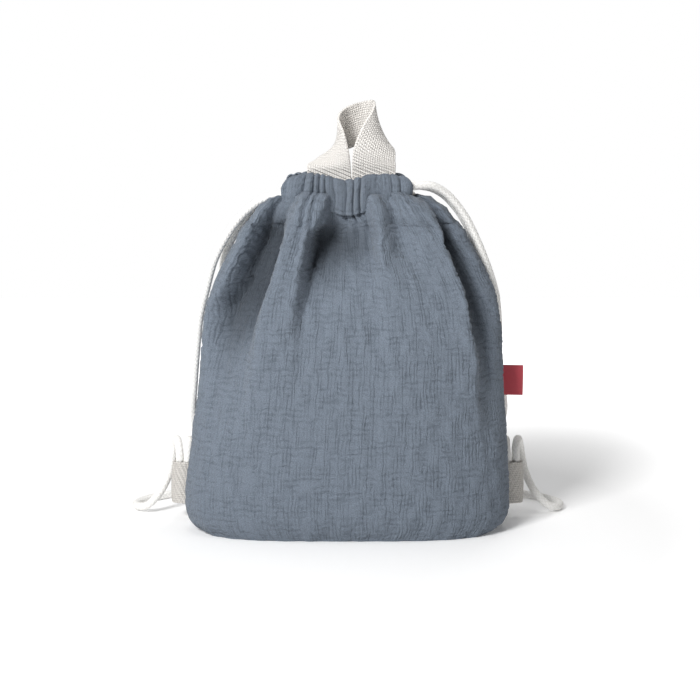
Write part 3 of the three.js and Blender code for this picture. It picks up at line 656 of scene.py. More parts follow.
fine_heights = np.linspace(0, NECK_HEIGHT, 2000)
slant = (half_width(fine_heights) + half_depth(fine_heights)) / 2
along_cloth = np.concatenate([[0], np.cumsum(np.hypot(np.diff(fine_heights), np.diff(slant)))])
CLOTH_LENGTH = along_cloth[-1]
row_heights = np.interp(np.linspace(0, CLOTH_LENGTH, ROWS + 1), along_cloth, fine_heights)
print("cut of the tube:", CLOTH_ROUND, "by", round(CLOTH_LENGTH, 3), "m")


# %% Where the cloth meets the hem
RIM_DIP = 0.0045  # the middle of the hem hangs lower
RIM_DIP_SPAN = 0.014
SIDE_LIFT = 0.013  # on both sides of the middle the folds puff up this far over the hem's seam
LIFT_STARTS = 0.231
LIFT_MIDDLE = 0.002
NECK_PUFF = 0.003
NECK_TUCK = 0.0015


def rim_dip(x):
    return RIM_DIP * np.exp(-((x / RIM_DIP_SPAN) ** 2))


def side_lift(x):
    off_middle = np.abs(x - LIFT_MIDDLE)
    return SIDE_LIFT * (smooth_step(off_middle, 0.006, 0.016) - 0.25 * smooth_step(off_middle, 0.034, 0.048))


def neck_puff(x, below_neck):
    puff = NECK_PUFF * np.exp(-(((below_neck - 0.005) / 0.004) ** 2))
    puff = puff - NECK_TUCK * np.exp(-((below_neck / 0.002) ** 2))
    return puff * side_lift(x) / SIDE_LIFT


# %% Points of one row
def row_points(height):
    rings = []
    for front in (True, False):
        shares, _ = even_shares(front, height, PANEL_COLUMNS + 1)
        points, outward = outline(height, panel_angles(front, height, shares))
        neck, _ = outline(NECK_HEIGHT, panel_angles(front, NECK_HEIGHT, shares))
        hem_share = 0.5 - neck[:, 0] / WIDTHS[-1]
        rise = fold_rise(FRONT_FOLDS if front else BACK_FOLDS, shares, height)
        rise = np.where(rise < 0, VALLEY_DEPTH * rise, RIDGE_HEIGHT * rise)
        # Painted shade for each point, by how deep it lies in a large fold.
        shade = smooth_step(-rise, *PAINTED_FOLD_SHADE_DEPTHS)
        below_neck = NECK_HEIGHT - height
        rise += pleat_rise(hem_share, front, below_neck)
        rise += neck_puff(neck[:, 0], below_neck)
        points = points + rise[:, None] * outward
        ring = np.column_stack([points, shade])
        rings.append(ring if front else ring[::-1])
    ring = np.vstack([rings[0][:-1], rings[1][:-1]])
    x = ring[:, 0] + lean_at(height)
    dip = rim_dip(x) * smooth_step(height, HEIGHTS[-2], NECK_HEIGHT)
    lift = side_lift(x) * smooth_step(height, LIFT_STARTS, NECK_HEIGHT)
    return np.column_stack([x, ring[:, 1], height - dip + lift, ring[:, 2]])


drawn_rows = np.stack([row_points(height) for height in row_heights])
folded_rows, fold_shades = drawn_rows[:, :, :3], drawn_rows[:, :, 3]
print("outer cloth:", folded_rows.shape[0], "rows of", folded_rows.shape[1], "points")

# %% Roll the cut into a tube and sew it
AROUND = 2 * PANEL_COLUMNS


def sew_doubles(piece):
    select_only(piece)
    bpy.ops.object.mode_set(mode="EDIT")
    bpy.ops.mesh.select_all(action="SELECT")
    bpy.ops.mesh.remove_doubles(threshold=1e-6)
    bpy.ops.mesh.normals_make_consistent(inside=False)
    bpy.ops.object.mode_set(mode="OBJECT")


def rolled(around, up):
    angle = 2 * np.pi * around
    radius = CLOTH_ROUND / (2 * np.pi)
    return np.column_stack([radius * np.cos(angle), -radius * np.sin(angle), CLOTH_LENGTH * up])


tube = cloth_grid("outer_cloth", AROUND, ROWS, CLOTH_ROUND, CLOTH_LENGTH)
move_points(tube, rolled(*grid_shares(tube)))
sew_doubles(tube)
flat_tube = np.empty(3 * len(tube.data.vertices))
tube.data.vertices.foreach_get("co", flat_tube)
flat_tube = flat_tube.reshape(-1, 3)
columns = np.rint(np.arctan2(-flat_tube[:, 1], flat_tube[:, 0]) / (2 * np.pi) * AROUND).astype(int) % AROUND
rows = np.rint(flat_tube[:, 2] / CLOTH_LENGTH * ROWS).astype(int)
move_points(tube, folded_rows[rows, columns])
# The painted fold shade is stored on the points for the material.
shade = tube.data.attributes.new("painted_fold_shade", "FLOAT", "POINT")
shade.data.foreach_set("value", fold_shades[rows, columns])
print("tube sewn:", len(tube.data.vertices), "points")

# %% [markdown]
# ## Let the cloth settle
#
# Folds that are only drawn look too smooth. The washed cloth is a little longer each way than the drawn
# folds, and it gets rid of that length in small wrinkles. Blender's cloth solver has a shrinking factor; a
# negative one makes the cloth longer, so that it buckles out of its surface. Faint crinkles give it a place
# to start. The neck, the base and the cloth beside the corner tabs stay where they are sewn, and no point
# goes far.

# %% Crinkles to start from
CRINKLES = 30
CRINKLE_HEIGHT = 0.0003
CRINKLE_WAVES = (0.009, 0.022)  # shortest and longest


def crinkles():
    chance = np.random.default_rng(5)
    across, up = columns / AROUND * CLOTH_ROUND, rows / ROWS * CLOTH_LENGTH
    total = np.zeros(len(rows))
    for _ in range(CRINKLES):
        wave, turn = chance.uniform(*CRINKLE_WAVES), chance.normal(0, 0.5)
        start = chance.uniform(0, 2 * np.pi)
        total += np.sin(2 * np.pi / wave * (across * np.cos(turn) + up * np.sin(turn)) + start)
    return CRINKLE_HEIGHT * total / math.sqrt(CRINKLES)


print("crinkles:", CRINKLES, "waves of up to", CRINKLE_WAVES[1], "m")

# %% Pressed and held places
TAB_PRESS = 0.0027  # the cloth is pressed in beside the corner tabs, where they turn
SOFT_HOLD = 0.7  # a faint pull back to the drawn place

normals = np.empty(3 * len(tube.data.vertices))
tube.data.vertices.foreach_get("normal", normals)
drawn = folded_rows[rows, columns]
from_seam = np.abs(drawn[:, 1] - SEAM_PLACE * DEPTHS[1] / 2)
at_side, low_down = smooth_step(np.abs(drawn[:, 0]), 0.085, 0.100), 1 - smooth_step(drawn[:, 2], 0.062, 0.080)
beside_tab = at_side * low_down * (1 - smooth_step(from_seam, 0.016, 0.030))
inwards = TAB_PRESS * beside_tab * smooth_step(from_seam, 0, 0.0032)
folded_points = drawn + (crinkles() * (1 - beside_tab) - inwards)[:, None] * normals.reshape(-1, 3)
move_points(tube, folded_points)
held = np.full(len(folded_points), SOFT_HOLD)
held[(rows >= ROWS - 1) | (rows <= 1) | (beside_tab > 0.5)] = 1
print("sewn points:", int((held > 0.99).sum()))


# %% The solver
SPARE_LENGTH = 0.08  # as a share of the drawn length
SETTLE_FRAMES = 12
MOST_MOVE = 0.004


def settle(piece):
    pins = piece.vertex_groups.new(name="held")
    for index, weight in enumerate(held):
        pins.add([index], float(weight), "REPLACE")
    cloth = piece.modifiers.new("cloth", "CLOTH")
    solver = cloth.settings
    solver.quality = 8
    solver.mass = 0.01
    solver.air_damping = 3
    solver.tension_stiffness = 20
    solver.compression_stiffness = 20
    solver.shear_stiffness = 5
    solver.bending_stiffness = 0.02
    solver.vertex_group_mass = "held"
    solver.pin_stiffness = 1
    solver.shrink_min = -SPARE_LENGTH
    solver.effector_weights.gravity = 0
    cloth.collision_settings.use_collision = False
    cloth.point_cache.frame_end = SETTLE_FRAMES
    for step in range(1, SETTLE_FRAMES + 1):
        bpy.context.scene.frame_set(step)
    settled = piece.evaluated_get(bpy.context.evaluated_depsgraph_get())
    points = np.empty(3 * len(settled.data.vertices))
    settled.data.vertices.foreach_get("co", points)
    select_only(piece)
    piece.modifiers.remove(cloth)
    bpy.context.scene.frame_set(1)
    return points.reshape(-1, 3)


moved = settle(tube) - folded_points
distance = np.linalg.norm(moved, axis=1)[:, None]
limit = MOST_MOVE * np.tanh(distance / MOST_MOVE) / np.maximum(distance, 1e-9)
move_points(tube, folded_points + moved * limit)
print("cloth settled by", round(float(distance.mean()) * 1000, 2), "mm on average")


# %% Take the front and the back apart at the side seams
def take_off(piece, name, chosen):
    select_only(piece)
    bpy.ops.object.mode_set(mode="EDIT")
    bpy.ops.mesh.select_all(action="DESELECT")
    bpy.ops.object.mode_set(mode="OBJECT")
    piece.data.polygons.foreach_set("select", chosen)
    bpy.ops.object.mode_set(mode="EDIT")
    bpy.ops.mesh.select_mode(type="FACE")
    bpy.ops.mesh.separate(type="SELECTED")
    bpy.ops.object.mode_set(mode="OBJECT")
    part = [o for o in bpy.context.selected_objects if o is not piece][0]
    part.name = name
    return part


def panel_of_faces(piece):
    flat = np.empty(2 * len(piece.data.loops))
    piece.data.uv_layers.active.data.foreach_get("uv", flat)
    across = flat.reshape(-1, 2)[:, 0].reshape(-1, 4).mean(axis=1)
    return across < CLOTH_ROUND / 2


front_cloth = take_off(tube, "front_cloth", panel_of_faces(tube))
back_cloth = tube
back_cloth.name = "back_cloth"
for cloth, node in [(front_cloth, "front_panel"), (back_cloth, "back_panel")]:
    dress(cloth, slate_gauze, "slate_cotton", "bag", node)

# %% [markdown]
# ## The bottom
#
# A flat panel closes the tube. It is a grid pressed into the rounded outline of the base, so that it has
# the same crinkled finish and no fan of long faces in the middle.

# %% Bottom panel
BASE_LIFT = 0.0003


def bottom_point(across, along):
    square = np.column_stack([2 * across - 1, 2 * along - 1])
    reach = np.abs(square).max(axis=1)[:, None]
    angles = np.arctan2(square[:, 1], square[:, 0])
    rim, _ = outline(0, angles)
    return np.column_stack([reach * rim, np.full(len(reach), BASE_LIFT)])


bottom = cloth_grid("bottom_panel", 40, 16, WIDTHS[0], DEPTHS[0])
move_points(bottom, bottom_point(*grid_shares(bottom)))
dress(bottom, slate_gauze, "slate_cotton", "bag", "base_panel")

# %% [markdown]
# ## The hem
#
# The top edge is turned over into a tunnel for the cords. The tunnel is a flattened tube that bends round
# each half of the mouth, ribbed by the gathers and scalloped along the top. Its ends stay open for the
# cords, so the cloth gets its thickness from a Solidify modifier.

# %% The line of the hem
TUNNEL_HALF_HEIGHT = 0.0125
TUNNEL_HALF_DEPTH = 0.0053
TUNNEL_END = 0.009
TUNNEL_SLANT = 0.006
CLEARANCE = 0.0003
RIM_HALF_WIDTH = 0.048
RIM_HALF_DEPTH = 0.012
TUNNEL_REACH = RIM_HALF_WIDTH - TUNNEL_END


def rim_depth(x):
    return RIM_HALF_DEPTH * (1 - np.abs(x / RIM_HALF_WIDTH) ** SQUARENESS[-1]) ** (1 / SQUARENESS[-1])


def hem_points(side, x, out, up):
    slope = (rim_depth(x + CLEARANCE) - rim_depth(x - CLEARANCE)) / (2 * CLEARANCE)
    outward = np.column_stack([-slope, np.full_like(x, side)])
    outward /= np.linalg.norm(outward, axis=1)[:, None]
    height = NECK_HEIGHT + CLEARANCE + TUNNEL_HALF_HEIGHT - rim_dip(x) + up
    return np.column_stack([x + out * outward[:, 0], side * rim_depth(x) + out * outward[:, 1], height])


# %% Gathered tunnels
TUNNEL_COLUMNS = 260
TUNNEL_SIDES = 44
FRONT, BACK = -1, 1
SCALLOP = 0.0018
NECK_STEP = 0.0046  # how far outside the hem's middle line the body's cloth comes up to it
STITCH_PINCH = 0.0008
HEM_THICKNESS = 0.001
TUNNEL_ROUND = 0.064  # cloth round the tunnel
TUNNEL_SQUARENESS = 2.5


def tunnel_points(side, along, round_it):
    x = TUNNEL_REACH * (1 - 2 * along)
    angle = 2 * np.pi * round_it
    unit = np.column_stack([np.cos(angle), np.sin(angle)])
    unit /= (np.abs(unit) ** TUNNEL_SQUARENESS).sum(axis=1)[:, None] ** (1 / TUNNEL_SQUARENESS)
    low, outer = np.maximum(0, -unit[:, 1]), unit[:, 0] > 0
    x = x + TUNNEL_SLANT * unit[:, 0] * (x / TUNNEL_REACH) ** 3
    drift = 0.12 * np.sin(2 * angle + 14 * along) * (1 - low)
    rib = gathers(0.5 - x / WIDTHS[-1], side == FRONT, drift)
    middle = 1 - side_lift(x) / SIDE_LIFT
    upright = outer * smooth_step(low, 0, 0.3) * np.clip(middle, 0, 1)
    out = np.where(outer, NECK_STEP, TUNNEL_HALF_DEPTH) * unit[:, 0] * (1 - upright) + NECK_STEP * upright
    out += GATHER_DEPTH * rib * np.where(outer, np.maximum(unit[:, 0], upright), unit[:, 0])
    out -= STITCH_PINCH * upright * np.exp(-(((low - 0.82) / 0.09) ** 2))
    end = smooth_step(np.abs(x), 0.028, 0.046)
    up = TUNNEL_HALF_HEIGHT * unit[:, 1] * (1 - 0.22 * end * (unit[:, 1] > 0))
    up += SCALLOP * rib * np.maximum(0, np.sin(angle))
    return hem_points(side, x, out, up)


for side, name in [(FRONT, "front"), (BACK, "back")]:
    tunnel = cloth_grid(f"{name}_hem", TUNNEL_COLUMNS, TUNNEL_SIDES, CLOTH_ROUND / 2, TUNNEL_ROUND)
    move_points(tunnel, tunnel_points(side, *grid_shares(tunnel)))
    sew_doubles(tunnel)
    apply_modifier(tunnel, "SOLIDIFY", thickness=HEM_THICKNESS, offset=-1)
    dress(tunnel, slate_gauze, "slate_cotton", "bag", f"{name}_hem_tunnel")

# %% [markdown]
# ## Cords
#
# Each cotton cord is braided from strands that wind both ways round it. A curve with a round bevel would be
# quicker to draw, but its outline would be smooth. So the tube is built ring by ring, fine enough for the
# strands to stand out, and its coordinates run round the cord and along it, so that the material's braid
# falls on the same strands.


# %% A braided tube
CORD_SIDES = 24
CORD_STEP = 0.0008
BRAID_DEPTH = 0.00016


def braid_height(turn, length):
    first = turn * BRAID_STRANDS + length / BRAID_RISE
    second = turn * BRAID_STRANDS - length / BRAID_RISE
    board = (np.floor(first) + np.floor(second)) % 2
    return np.where(board > 0.5, np.sin(np.pi * (first % 1)), np.sin(np.pi * (second % 1)))


def carried_frames(route):
    ahead = np.gradient(route, axis=0)
    ahead /= np.linalg.norm(ahead, axis=1)[:, None]
    across = np.cross(ahead[0], (0.31, 0.52, 0.79))
    frames = []
    for direction in ahead:
        across = across - direction * across.dot(direction)
        across = across / np.linalg.norm(across)
        frames.append((across, np.cross(direction, across)))
    return np.array(frames)


def cord_faces(rings):
    faces = []
    for ring in range(rings - 1):
        low, high = ring * CORD_SIDES, (ring + 1) * CORD_SIDES
        for j in range(CORD_SIDES):
            k = (j + 1) % CORD_SIDES
            faces.append((low + j, low + k, high + k, high + j))
    first, last = range(CORD_SIDES), range((rings - 1) * CORD_SIDES, rings * CORD_SIDES)
    return faces + [tuple(first)[::-1], tuple(last)]


def cord_chart(along):
    corners = [
        (j / CORD_SIDES, along[ring])
        for first in range(len(along) - 1) for side in range(CORD_SIDES)
        for j, ring in ((side, first), (side + 1, first), (side + 1, first + 1), (side, first + 1))
    ]
    return np.array(corners + [(0.5, 0.0)] * (2 * CORD_SIDES))


# %% A cord along a route
def braided_cord(name, points):
    route, length = even_route(points, CORD_STEP)
    frames = carried_frames(route)
    turn = np.arange(CORD_SIDES) / CORD_SIDES
    along = np.linspace(0, length, len(route))
    radius = CORD_DIAMETER / 2 + BRAID_DEPTH * (braid_height(turn[None, :], along[:, None]) - 0.75)
    angle = (2 * np.pi * turn)[None, :, None]
    spoke = np.cos(angle) * frames[:, None, 0] + np.sin(angle) * frames[:, None, 1]
    points = (route[:, None] + radius[:, :, None] * spoke).reshape(-1, 3)
    mesh = bpy.data.meshes.new(name)
    mesh.from_pydata(points.tolist(), [], cord_faces(len(route)))
    mesh.uv_layers.new(name="UVMap").data.foreach_set("uv", cord_chart(along).ravel())
    cord = bpy.data.objects.new(name, mesh)
    bpy.context.scene.collection.objects.link(cord)
    return cord, route, length


# %% [markdown]
# ## Where the cords run
#
# A cord goes into the hem at one side, round the far end and back out beside itself. Its two ends hang
# behind the side of the bag to the floor, loop there and rise to the tab in the lower corner. These are the
# same routes as in the solid model, in metres; the one at the front left bows out a little more, clear of
# the cloth.

# %% Routes
LEFT, RIGHT = -1, 1
FLOOR = 0.0033  # middle of a cord that lies on the floor
STRANDS = {
    "left_front": [
        (-0.0605, -0.0035, 0.248), (-0.0703, -0.0002, 0.2418), (-0.0793, 0.002, 0.2332),
        (-0.0898, 0.004, 0.2187), (-0.0989, 0.006, 0.2008), (-0.1049, 0.009, 0.1802), (-0.1101, 0.011, 0.16),
        (-0.1128, 0.013, 0.14), (-0.1157, 0.015, 0.11), (-0.1178, 0.019, 0.082), (-0.115, 0.027, 0.061),
        (-0.109, 0.037, 0.042), (-0.104, 0.045, 0.023), (-0.098, 0.0525, 0.0105), (-0.088, 0.0575, 0.0042),
        (-0.073, 0.059, FLOOR),
    ],
    "right_front": [
        (0.0615, -0.0035, 0.2573), (0.072, 0.001, 0.2515), (0.081, 0.004, 0.242), (0.0885, 0.006, 0.231),
        (0.0955, 0.008, 0.217), (0.1015, 0.01, 0.203), (0.1075, 0.013, 0.187), (0.112, 0.017, 0.17),
        (0.114, 0.021, 0.15), (0.1145, 0.025, 0.126), (0.116, 0.0265, 0.107), (0.119, 0.0265, 0.094),
        (0.1195, 0.028, 0.082), (0.1155, 0.0325, 0.067), (0.112, 0.039, 0.052), (0.108, 0.045, 0.035),
        (0.103, 0.051, 0.019), (0.097, 0.055, 0.0095), (0.088, 0.058, 0.0042), (0.074, 0.0595, FLOOR),
    ],
    "left_back": [
        (-0.061, 0.0046, 0.2463), (-0.0705, 0.0072, 0.238), (-0.08, 0.0095, 0.226),
        (-0.0885, 0.0125, 0.2115), (-0.093, 0.018, 0.196), (-0.0915, 0.0265, 0.18), (-0.0855, 0.036, 0.162),
        (-0.0755, 0.0445, 0.14), (-0.0635, 0.051, 0.112), (-0.053, 0.055, 0.08), (-0.045, 0.0575, 0.048),
        (-0.0405, 0.061, 0.024), (-0.0402, 0.066, 0.0125), (-0.0415, 0.074, 0.0053),
        (-0.0455, 0.084, FLOOR), (-0.053, 0.094, FLOOR), (-0.064, 0.1, FLOOR), (-0.076, 0.1015, FLOOR),
    ],
    "right_back": [
        (0.0615, 0.0046, 0.2552), (0.0715, 0.0078, 0.2495), (0.0805, 0.0108, 0.24), (0.088, 0.013, 0.2285),
        (0.0945, 0.016, 0.214), (0.098, 0.021, 0.199), (0.0975, 0.029, 0.183), (0.0915, 0.0385, 0.165),
        (0.0815, 0.0465, 0.141), (0.0695, 0.052, 0.112), (0.058, 0.0555, 0.08), (0.049, 0.058, 0.048),
        (0.0435, 0.0615, 0.024), (0.0432, 0.0665, 0.0125), (0.0445, 0.0745, 0.0053), (0.0485, 0.084, FLOOR),
        (0.056, 0.093, FLOOR), (0.067, 0.0985, FLOOR), (0.079, 0.1, FLOOR),
    ],
}
TAILS = {
    "left_inner": [
        (-0.06, 0.061, FLOOR), (-0.054, 0.0675, FLOOR), (-0.054, 0.076, FLOOR), (-0.06, 0.0835, FLOOR),
        (-0.07, 0.0865, FLOOR), (-0.084, 0.084, FLOOR), (-0.098, 0.0775, FLOOR), (-0.11, 0.068, FLOOR),
        (-0.118, 0.0585, 0.0058), (-0.1225, 0.051, 0.016), (-0.1234, 0.0465, 0.03),
        (-0.1231, 0.0452, 0.042), (-0.1227, 0.0435, 0.051), (-0.1224, 0.0382, 0.0575),
        (-0.1221, 0.0299, 0.0591), (-0.1219, 0.0222, 0.0542),
    ],
    "right_inner": [
        (0.061, 0.0615, FLOOR), (0.055, 0.068, FLOOR), (0.055, 0.076, FLOOR), (0.061, 0.0835, FLOOR),
        (0.071, 0.0865, FLOOR), (0.085, 0.084, FLOOR), (0.099, 0.0775, FLOOR), (0.1105, 0.068, FLOOR),
        (0.118, 0.0585, 0.0058), (0.1225, 0.051, 0.016), (0.1234, 0.0465, 0.03), (0.1231, 0.0452, 0.042),
        (0.1227, 0.0435, 0.051), (0.1224, 0.0382, 0.0575), (0.1221, 0.0299, 0.0591),
        (0.1219, 0.0222, 0.0542),
    ],
    "left_outer": [
        (-0.091, 0.1, FLOOR), (-0.109, 0.095, FLOOR), (-0.128, 0.087, FLOOR), (-0.146, 0.077, FLOOR),
        (-0.16, 0.064, FLOOR), (-0.166, 0.052, FLOOR), (-0.1635, 0.0415, 0.0036), (-0.155, 0.0355, 0.0065),
        (-0.1455, 0.038, 0.0165), (-0.139, 0.0435, 0.03), (-0.1362, 0.0465, 0.042),
        (-0.1346, 0.0451, 0.051), (-0.1328, 0.0398, 0.0575), (-0.1308, 0.0315, 0.0591),
        (-0.129, 0.0238, 0.0542),
    ],
    "right_outer": [
        (0.093, 0.0985, FLOOR), (0.111, 0.0935, FLOOR), (0.13, 0.086, FLOOR), (0.148, 0.076, FLOOR),
        (0.161, 0.064, FLOOR), (0.167, 0.0525, FLOOR), (0.1645, 0.0415, 0.0036), (0.156, 0.0355, 0.0065),
        (0.146, 0.038, 0.0165), (0.1392, 0.0435, 0.03), (0.1362, 0.0465, 0.042), (0.1346, 0.0451, 0.051),
        (0.1328, 0.0398, 0.0575), (0.1308, 0.0315, 0.0591), (0.129, 0.0238, 0.0542),
    ],
}
print("routes:", ", ".join([*STRANDS, *TAILS]))

# %% Cords in the hem
CORD_LEVEL = CORD_DIAMETER / 2 + CLEARANCE  # the two cords lie one above the other
CORD_TURN = TUNNEL_REACH - CORD_DIAMETER / 2
CORD_EXIT = TUNNEL_REACH + TUNNEL_SLANT


def hem_run(side, panel):
    x = side * np.linspace(CORD_EXIT, -CORD_TURN, 9)
    return hem_points(panel, x, np.zeros(9), np.full(9, side * CORD_LEVEL))


def hem_route(side):
    angle = np.pi * np.arange(1, 6) / 6
    radius = rim_depth(CORD_TURN)
    middle = hem_run(side, FRONT)[-1, 2]
    x = -side * (CORD_TURN + radius * np.sin(angle))
    turn = np.column_stack([x, FRONT * radius * np.cos(angle), np.full(5, middle)])
    return np.vstack([hem_run(side, FRONT), turn, hem_run(side, BACK)[::-1]])


for side, name in [(LEFT, "left"), (RIGHT, "right")]:
    cord, _, length = braided_cord(f"{name}_hem_cord", hem_route(side))
    dress(cord, braid, "cotton_cord", "bag", f"{name}_draw_cord")
    print(name, "cord has", round(length, 3), "m in the hem")

# %% Where a tab holds the cords
TAB_LOW = 0.013
TAB_TOP = TAB_LOW + WEBBING_WIDTH
TAB_TOE = math.radians(15)
TAB_CORD_PLACES = {"inner": 0.0061, "outer": 0.0124}  # from the side seam


def seam_point(side, height):
    angle = seam_angle(height) if side == RIGHT else math.pi - seam_angle(height)
    point, _ = outline(height, np.array([angle]))
    return np.array([point[0, 0] + lean_at(height), point[0, 1], height])


def tab_point(side, out, across, height):
    along_tab = np.array([side * math.cos(TAB_TOE), math.sin(TAB_TOE), 0])
    over_tab = np.array([-side * math.sin(TAB_TOE), math.cos(TAB_TOE), 0])
    return seam_point(side, height) + out * along_tab + across * over_tab


def tab_cord(side, place):
    heights = np.linspace(TAB_LOW + CLEARANCE, TAB_TOP - CLEARANCE, 5)
    return np.array([tab_point(side, TAB_CORD_PLACES[place], 0, height) for height in heights])


print("tabs from", TAB_LOW, "to", round(TAB_TOP, 3), "m above the floor")

# %% Straps: a strand from the hem to the floor, and a tail from there to the tab
JOIN_LEAD = 0.002  # a cord goes straight on for this far beyond a join
STRAPS = [
    (LEFT, "left", FRONT, "front", "inner"), (LEFT, "left", BACK, "back", "outer"),
    (RIGHT, "right", FRONT, "front", "inner"), (RIGHT, "right", BACK, "back", "outer"),
]


def lead_on(points):
    ahead = points[-1] - points[-2]
    ahead = ahead / np.linalg.norm(ahead)
    return np.array([points[-1], points[-1] + JOIN_LEAD * ahead])


for side, name, panel, strand_name, tail_name in STRAPS:
    exit_point = hem_run(side, panel)[:2][::-1]
    strand_points = np.vstack([lead_on(exit_point), STRANDS[f"{name}_{strand_name}"]])
    strand, route, length = braided_cord(f"{name}_{strand_name}_strap", strand_points)
    dress(strand, braid, "cotton_cord", "bag", f"{name}_{strand_name}_strand")

    in_tab = tab_cord(side, tail_name)
    tail_points = np.vstack([lead_on(strand_points), TAILS[f"{name}_{tail_name}"], lead_on(in_tab)[::-1]])
    tail, route, length = braided_cord(f"{name}_{tail_name}_strap_tail", tail_points)
    dress(tail, braid, "cotton_cord", None, f"{name}_{tail_name}_tail")
    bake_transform(tail)

    cord_end, _, _ = braided_cord(f"{name}_{tail_name}_strap_end", in_tab)
    dress(cord_end, braid, "cotton_cord", f"{name}_corner", f"{name}_{tail_name}_cord_end")

# %% [markdown]
# ## Webbing
#
# The carry loop and the tabs are lengths of the same tape. Each is a grid laid along the tape's path, given
# its thickness by one modifier and its rounded edges by another. The tape's own coordinates run across and
# along it, so the ribs of the weave follow every turn. The tabs sit low in the shade of the bag, so their
# copy of the tape's colours is darker: painted shade.


# %% A strip of tape
EDGE_ROUND = 0.0005
EDGE_ANGLE = math.radians(50)


def tape(name, columns, rows, length, place):
    strip = cloth_grid(name, columns, rows, WEBBING_WIDTH, length)
    move_points(strip, place(*grid_shares(strip)))
    apply_modifier(strip, "SOLIDIFY", thickness=WEBBING_THICKNESS, offset=0)
    apply_modifier(
        strip, "BEVEL", width=EDGE_ROUND, segments=2, limit_method="ANGLE", angle_limit=EDGE_ANGLE
    )
    return strip


# %% Carry loop
LOOP_OFFSET = 0.003
LOOP_SPLIT = 0.0008
LOOP_RISE = 0.050
LOOP_SEWN_LENGTH = 0.020
LOOP_LENGTH = 0.190
LOOP_CLEAR = 0.0022  # from the top of the hem up to the fold at the loop's foot
LOOP_FOOT = Vector((LOOP_OFFSET, 0, NECK_HEIGHT + 2 * TUNNEL_HALF_HEIGHT + LOOP_CLEAR))
LOOP_SEAT = TUNNEL_HALF_DEPTH + CLEARANCE + WEBBING_THICKNESS / 2
LOOP_EDGE = LOOP_RISE * np.array([  # the tape's upper edge from the left foot to the right foot
    (-0.035, -0.02, 0.235), (-0.11, -0.02, 0.53), (-0.19, 0.11, 0.765), (-0.055, 0.365, 0.91),
    (0.165, 0.455, 0.98), (0.325, 0.29, 1), (0.31, 0.09, 0.875), (0.165, 0, 0.635), (0.035, -0.02, 0.31),
])
LOOP_ACROSS = np.array([  # the direction across the tape at the sewn ends, the feet and those points
    (-1, 0.02, 0), (-1, 0, 0), (-24, 17, -6), (-11, 27, -15), (1, 23, -23), (2, 7, -31), (-2, 1, -32),
    (1, 6, -32), (11, 14, -26), (23, 11, -18), (30, 4, -9), (1, 0, 0), (1, 0.02, 0),
], float)


def loop_points(across, along):
    directions = LOOP_ACROSS / np.linalg.norm(LOOP_ACROSS, axis=1)[:, None]
    turned = curve_points(directions, along)
    turned /= np.linalg.norm(turned, axis=1)[:, None]
    feet = [np.array([(side * LOOP_SPLIT / 2, 0, -LOOP_SEWN_LENGTH), (side * LOOP_SPLIT / 2, 0, 0)])
            for side in (LEFT, RIGHT)]
    edge = np.vstack([feet[0], LOOP_EDGE, feet[1][::-1]])
    points = curve_points(edge, along) + across[:, None] * WEBBING_WIDTH * turned
    seat = hem_points(BACK, np.full(1, LOOP_OFFSET), np.full(1, -LOOP_SEAT), np.zeros(1))[0, 1]
    return points + np.array(LOOP_FOOT) + (0, seat, 0)


loop = tape("carry_loop_tape", 16, 180, LOOP_LENGTH, loop_points)
sewn_ends = ["carry_loop_left_sewn_end", "carry_loop_right_sewn_end"]
dress(loop, webbing, "cotton_webbing", None, "carry_loop", *sewn_ends)
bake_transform(loop)

# %% Corner tabs
TAB_LENGTH = 0.042
TAB_SECTION = np.array([  # the folded tape seen from above: out from the seam, and across to the back
    (0.0011, -0.0005, 0), (0.0026, -0.0032, 0), (0.0060, -0.0044, 0), (0.0124, -0.0044, 0),
    (0.0155, -0.0031, 0), (0.0168, 0, 0), (0.0155, 0.0031, 0), (0.0124, 0.0044, 0), (0.0060, 0.0044, 0),
    (0.0026, 0.0032, 0), (0.0011, 0.0005, 0),
])


def tab_points(side):
    def place(across, along):
        section = curve_points(TAB_SECTION, along)
        heights = TAB_LOW + WEBBING_WIDTH * across
        return np.array([tab_point(side, out, over, height)
                         for (out, over, _), height in zip(section, heights)])
    return place


for side, name in [(LEFT, "left"), (RIGHT, "right")]:
    tab = tape(f"{name}_corner_tab", 24, 40, TAB_LENGTH, tab_points(side))
    dress(tab, painted_shade_webbing, "cotton_webbing", f"{name}_corner", f"{name}_tab")

# %% [markdown]
# ## Label
#
# A short red ribbon is folded double and caught in the side seam. A grid is bent round its fold and given a
# thin thickness. It bows forward a little, as a ribbon does, so that it stays clear of the strap behind it.

# %% Side label
label_low, label_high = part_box("side_label")
LABEL_FOLD = 0.0003  # half the gap between its two layers
LABEL_LAYER = 0.00022
LABEL_BOW = (0.0014, 0.0006)  # forward at its top and bottom edge, and how much more in the middle
LABEL_CUT = (0.023, 0.038)


def label_points(across, along):
    out = 1 - np.abs(2 * along - 1)
    x = label_low.x + (label_high.x - label_low.x - LABEL_LAYER) * np.sin(out * math.pi / 2) ** 0.8
    side = np.where(along < 0.5, -1, 1) * LABEL_FOLD * np.minimum(1, 8 * (1 - out))
    bow = LABEL_BOW[0] + LABEL_BOW[1] * np.sin(math.pi * across)
    middle = (label_low.y + label_high.y) / 2
    height = label_low.z + (label_high.z - label_low.z) * across
    return np.column_stack([x, middle + side - bow * out, height])


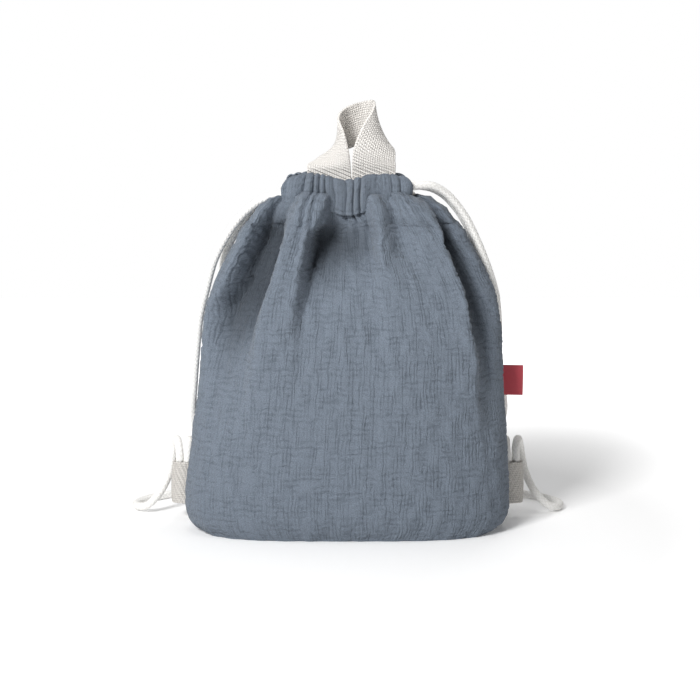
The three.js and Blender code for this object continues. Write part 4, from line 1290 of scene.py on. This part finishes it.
label = cloth_grid("red_side_label", 20, 60, *LABEL_CUT)
move_points(label, label_points(*grid_shares(label)))
apply_modifier(label, "SOLIDIFY", thickness=LABEL_LAYER, offset=0)
dress(label, label_weave, "woven_label", "label", "side_label")

# %% [markdown]
# ## Lining
#
# A loose inner bag of plain thin cotton shows between the hems when one looks in from above. It follows the
# same outlines, drawn in far enough to hang inside the deepest valley at each height, so it never cuts the
# outer cloth.

# %% Lining
LINING_GAP = 0.0052
LINING_COLUMNS = 96
LINING_ROWS = 40


def valley_depth(height):
    return max(-through(FOLD_HEIGHTS, fold["rise"], height) / 1000 for fold in FRONT_FOLDS + BACK_FOLDS)


def lining_points(around, up):
    points = []
    for share, rise in zip(around, up):
        height = LINING_GAP + (NECK_HEIGHT - LINING_GAP) * (1 - math.cos(math.pi * rise)) / 2
        rim, outward = outline(height, np.array([2 * math.pi * share]))
        gap = LINING_GAP + VALLEY_DEPTH * valley_depth(height)
        keep = max(0.1, 1 - gap / half_depth(height))
        narrow = 1 - 0.4 * (smooth_step(height, 0.06, 0.15) - smooth_step(height, 0.225, NECK_HEIGHT))
        across = (rim[0, 0] - gap * np.sign(rim[0, 0]) * abs(outward[0, 0])) * narrow
        points.append((across + lean_at(height), rim[0, 1] * keep, height))
    return np.array(points)


lining = cloth_grid("inner_lining", LINING_COLUMNS, LINING_ROWS, CLOTH_ROUND, CLOTH_LENGTH)
move_points(lining, lining_points(*grid_shares(lining)))
sew_doubles(lining)
dress(lining, lining_lawn, "lining_cotton", "bag", "lining")

# %% [markdown]
# ## Paper
#
# The floor is white paper with a painted glow: faint near the bag, so the lamps' shadow shows there, and
# strong further out, so the floor looks white to its edge.

# %% Paper floor
paper = Finish("white_paper_painted_glow", roughness=1.0)
paper.set("Base Color", (0.93, 0.93, 0.93, 1))
# Painted glow: the paper's emission grows with the distance from the bag.
far = (paper.distance() * 3.2 - 0.75).share()
paper.set("Emission Color", paper.blend(far, (0.11, 0.11, 0.11, 1), (0.75, 0.75, 0.75, 1)))
paper.set("Emission Strength", 1.0)
floor.data.materials.append(paper.material)
print("floor:", paper.material.name)
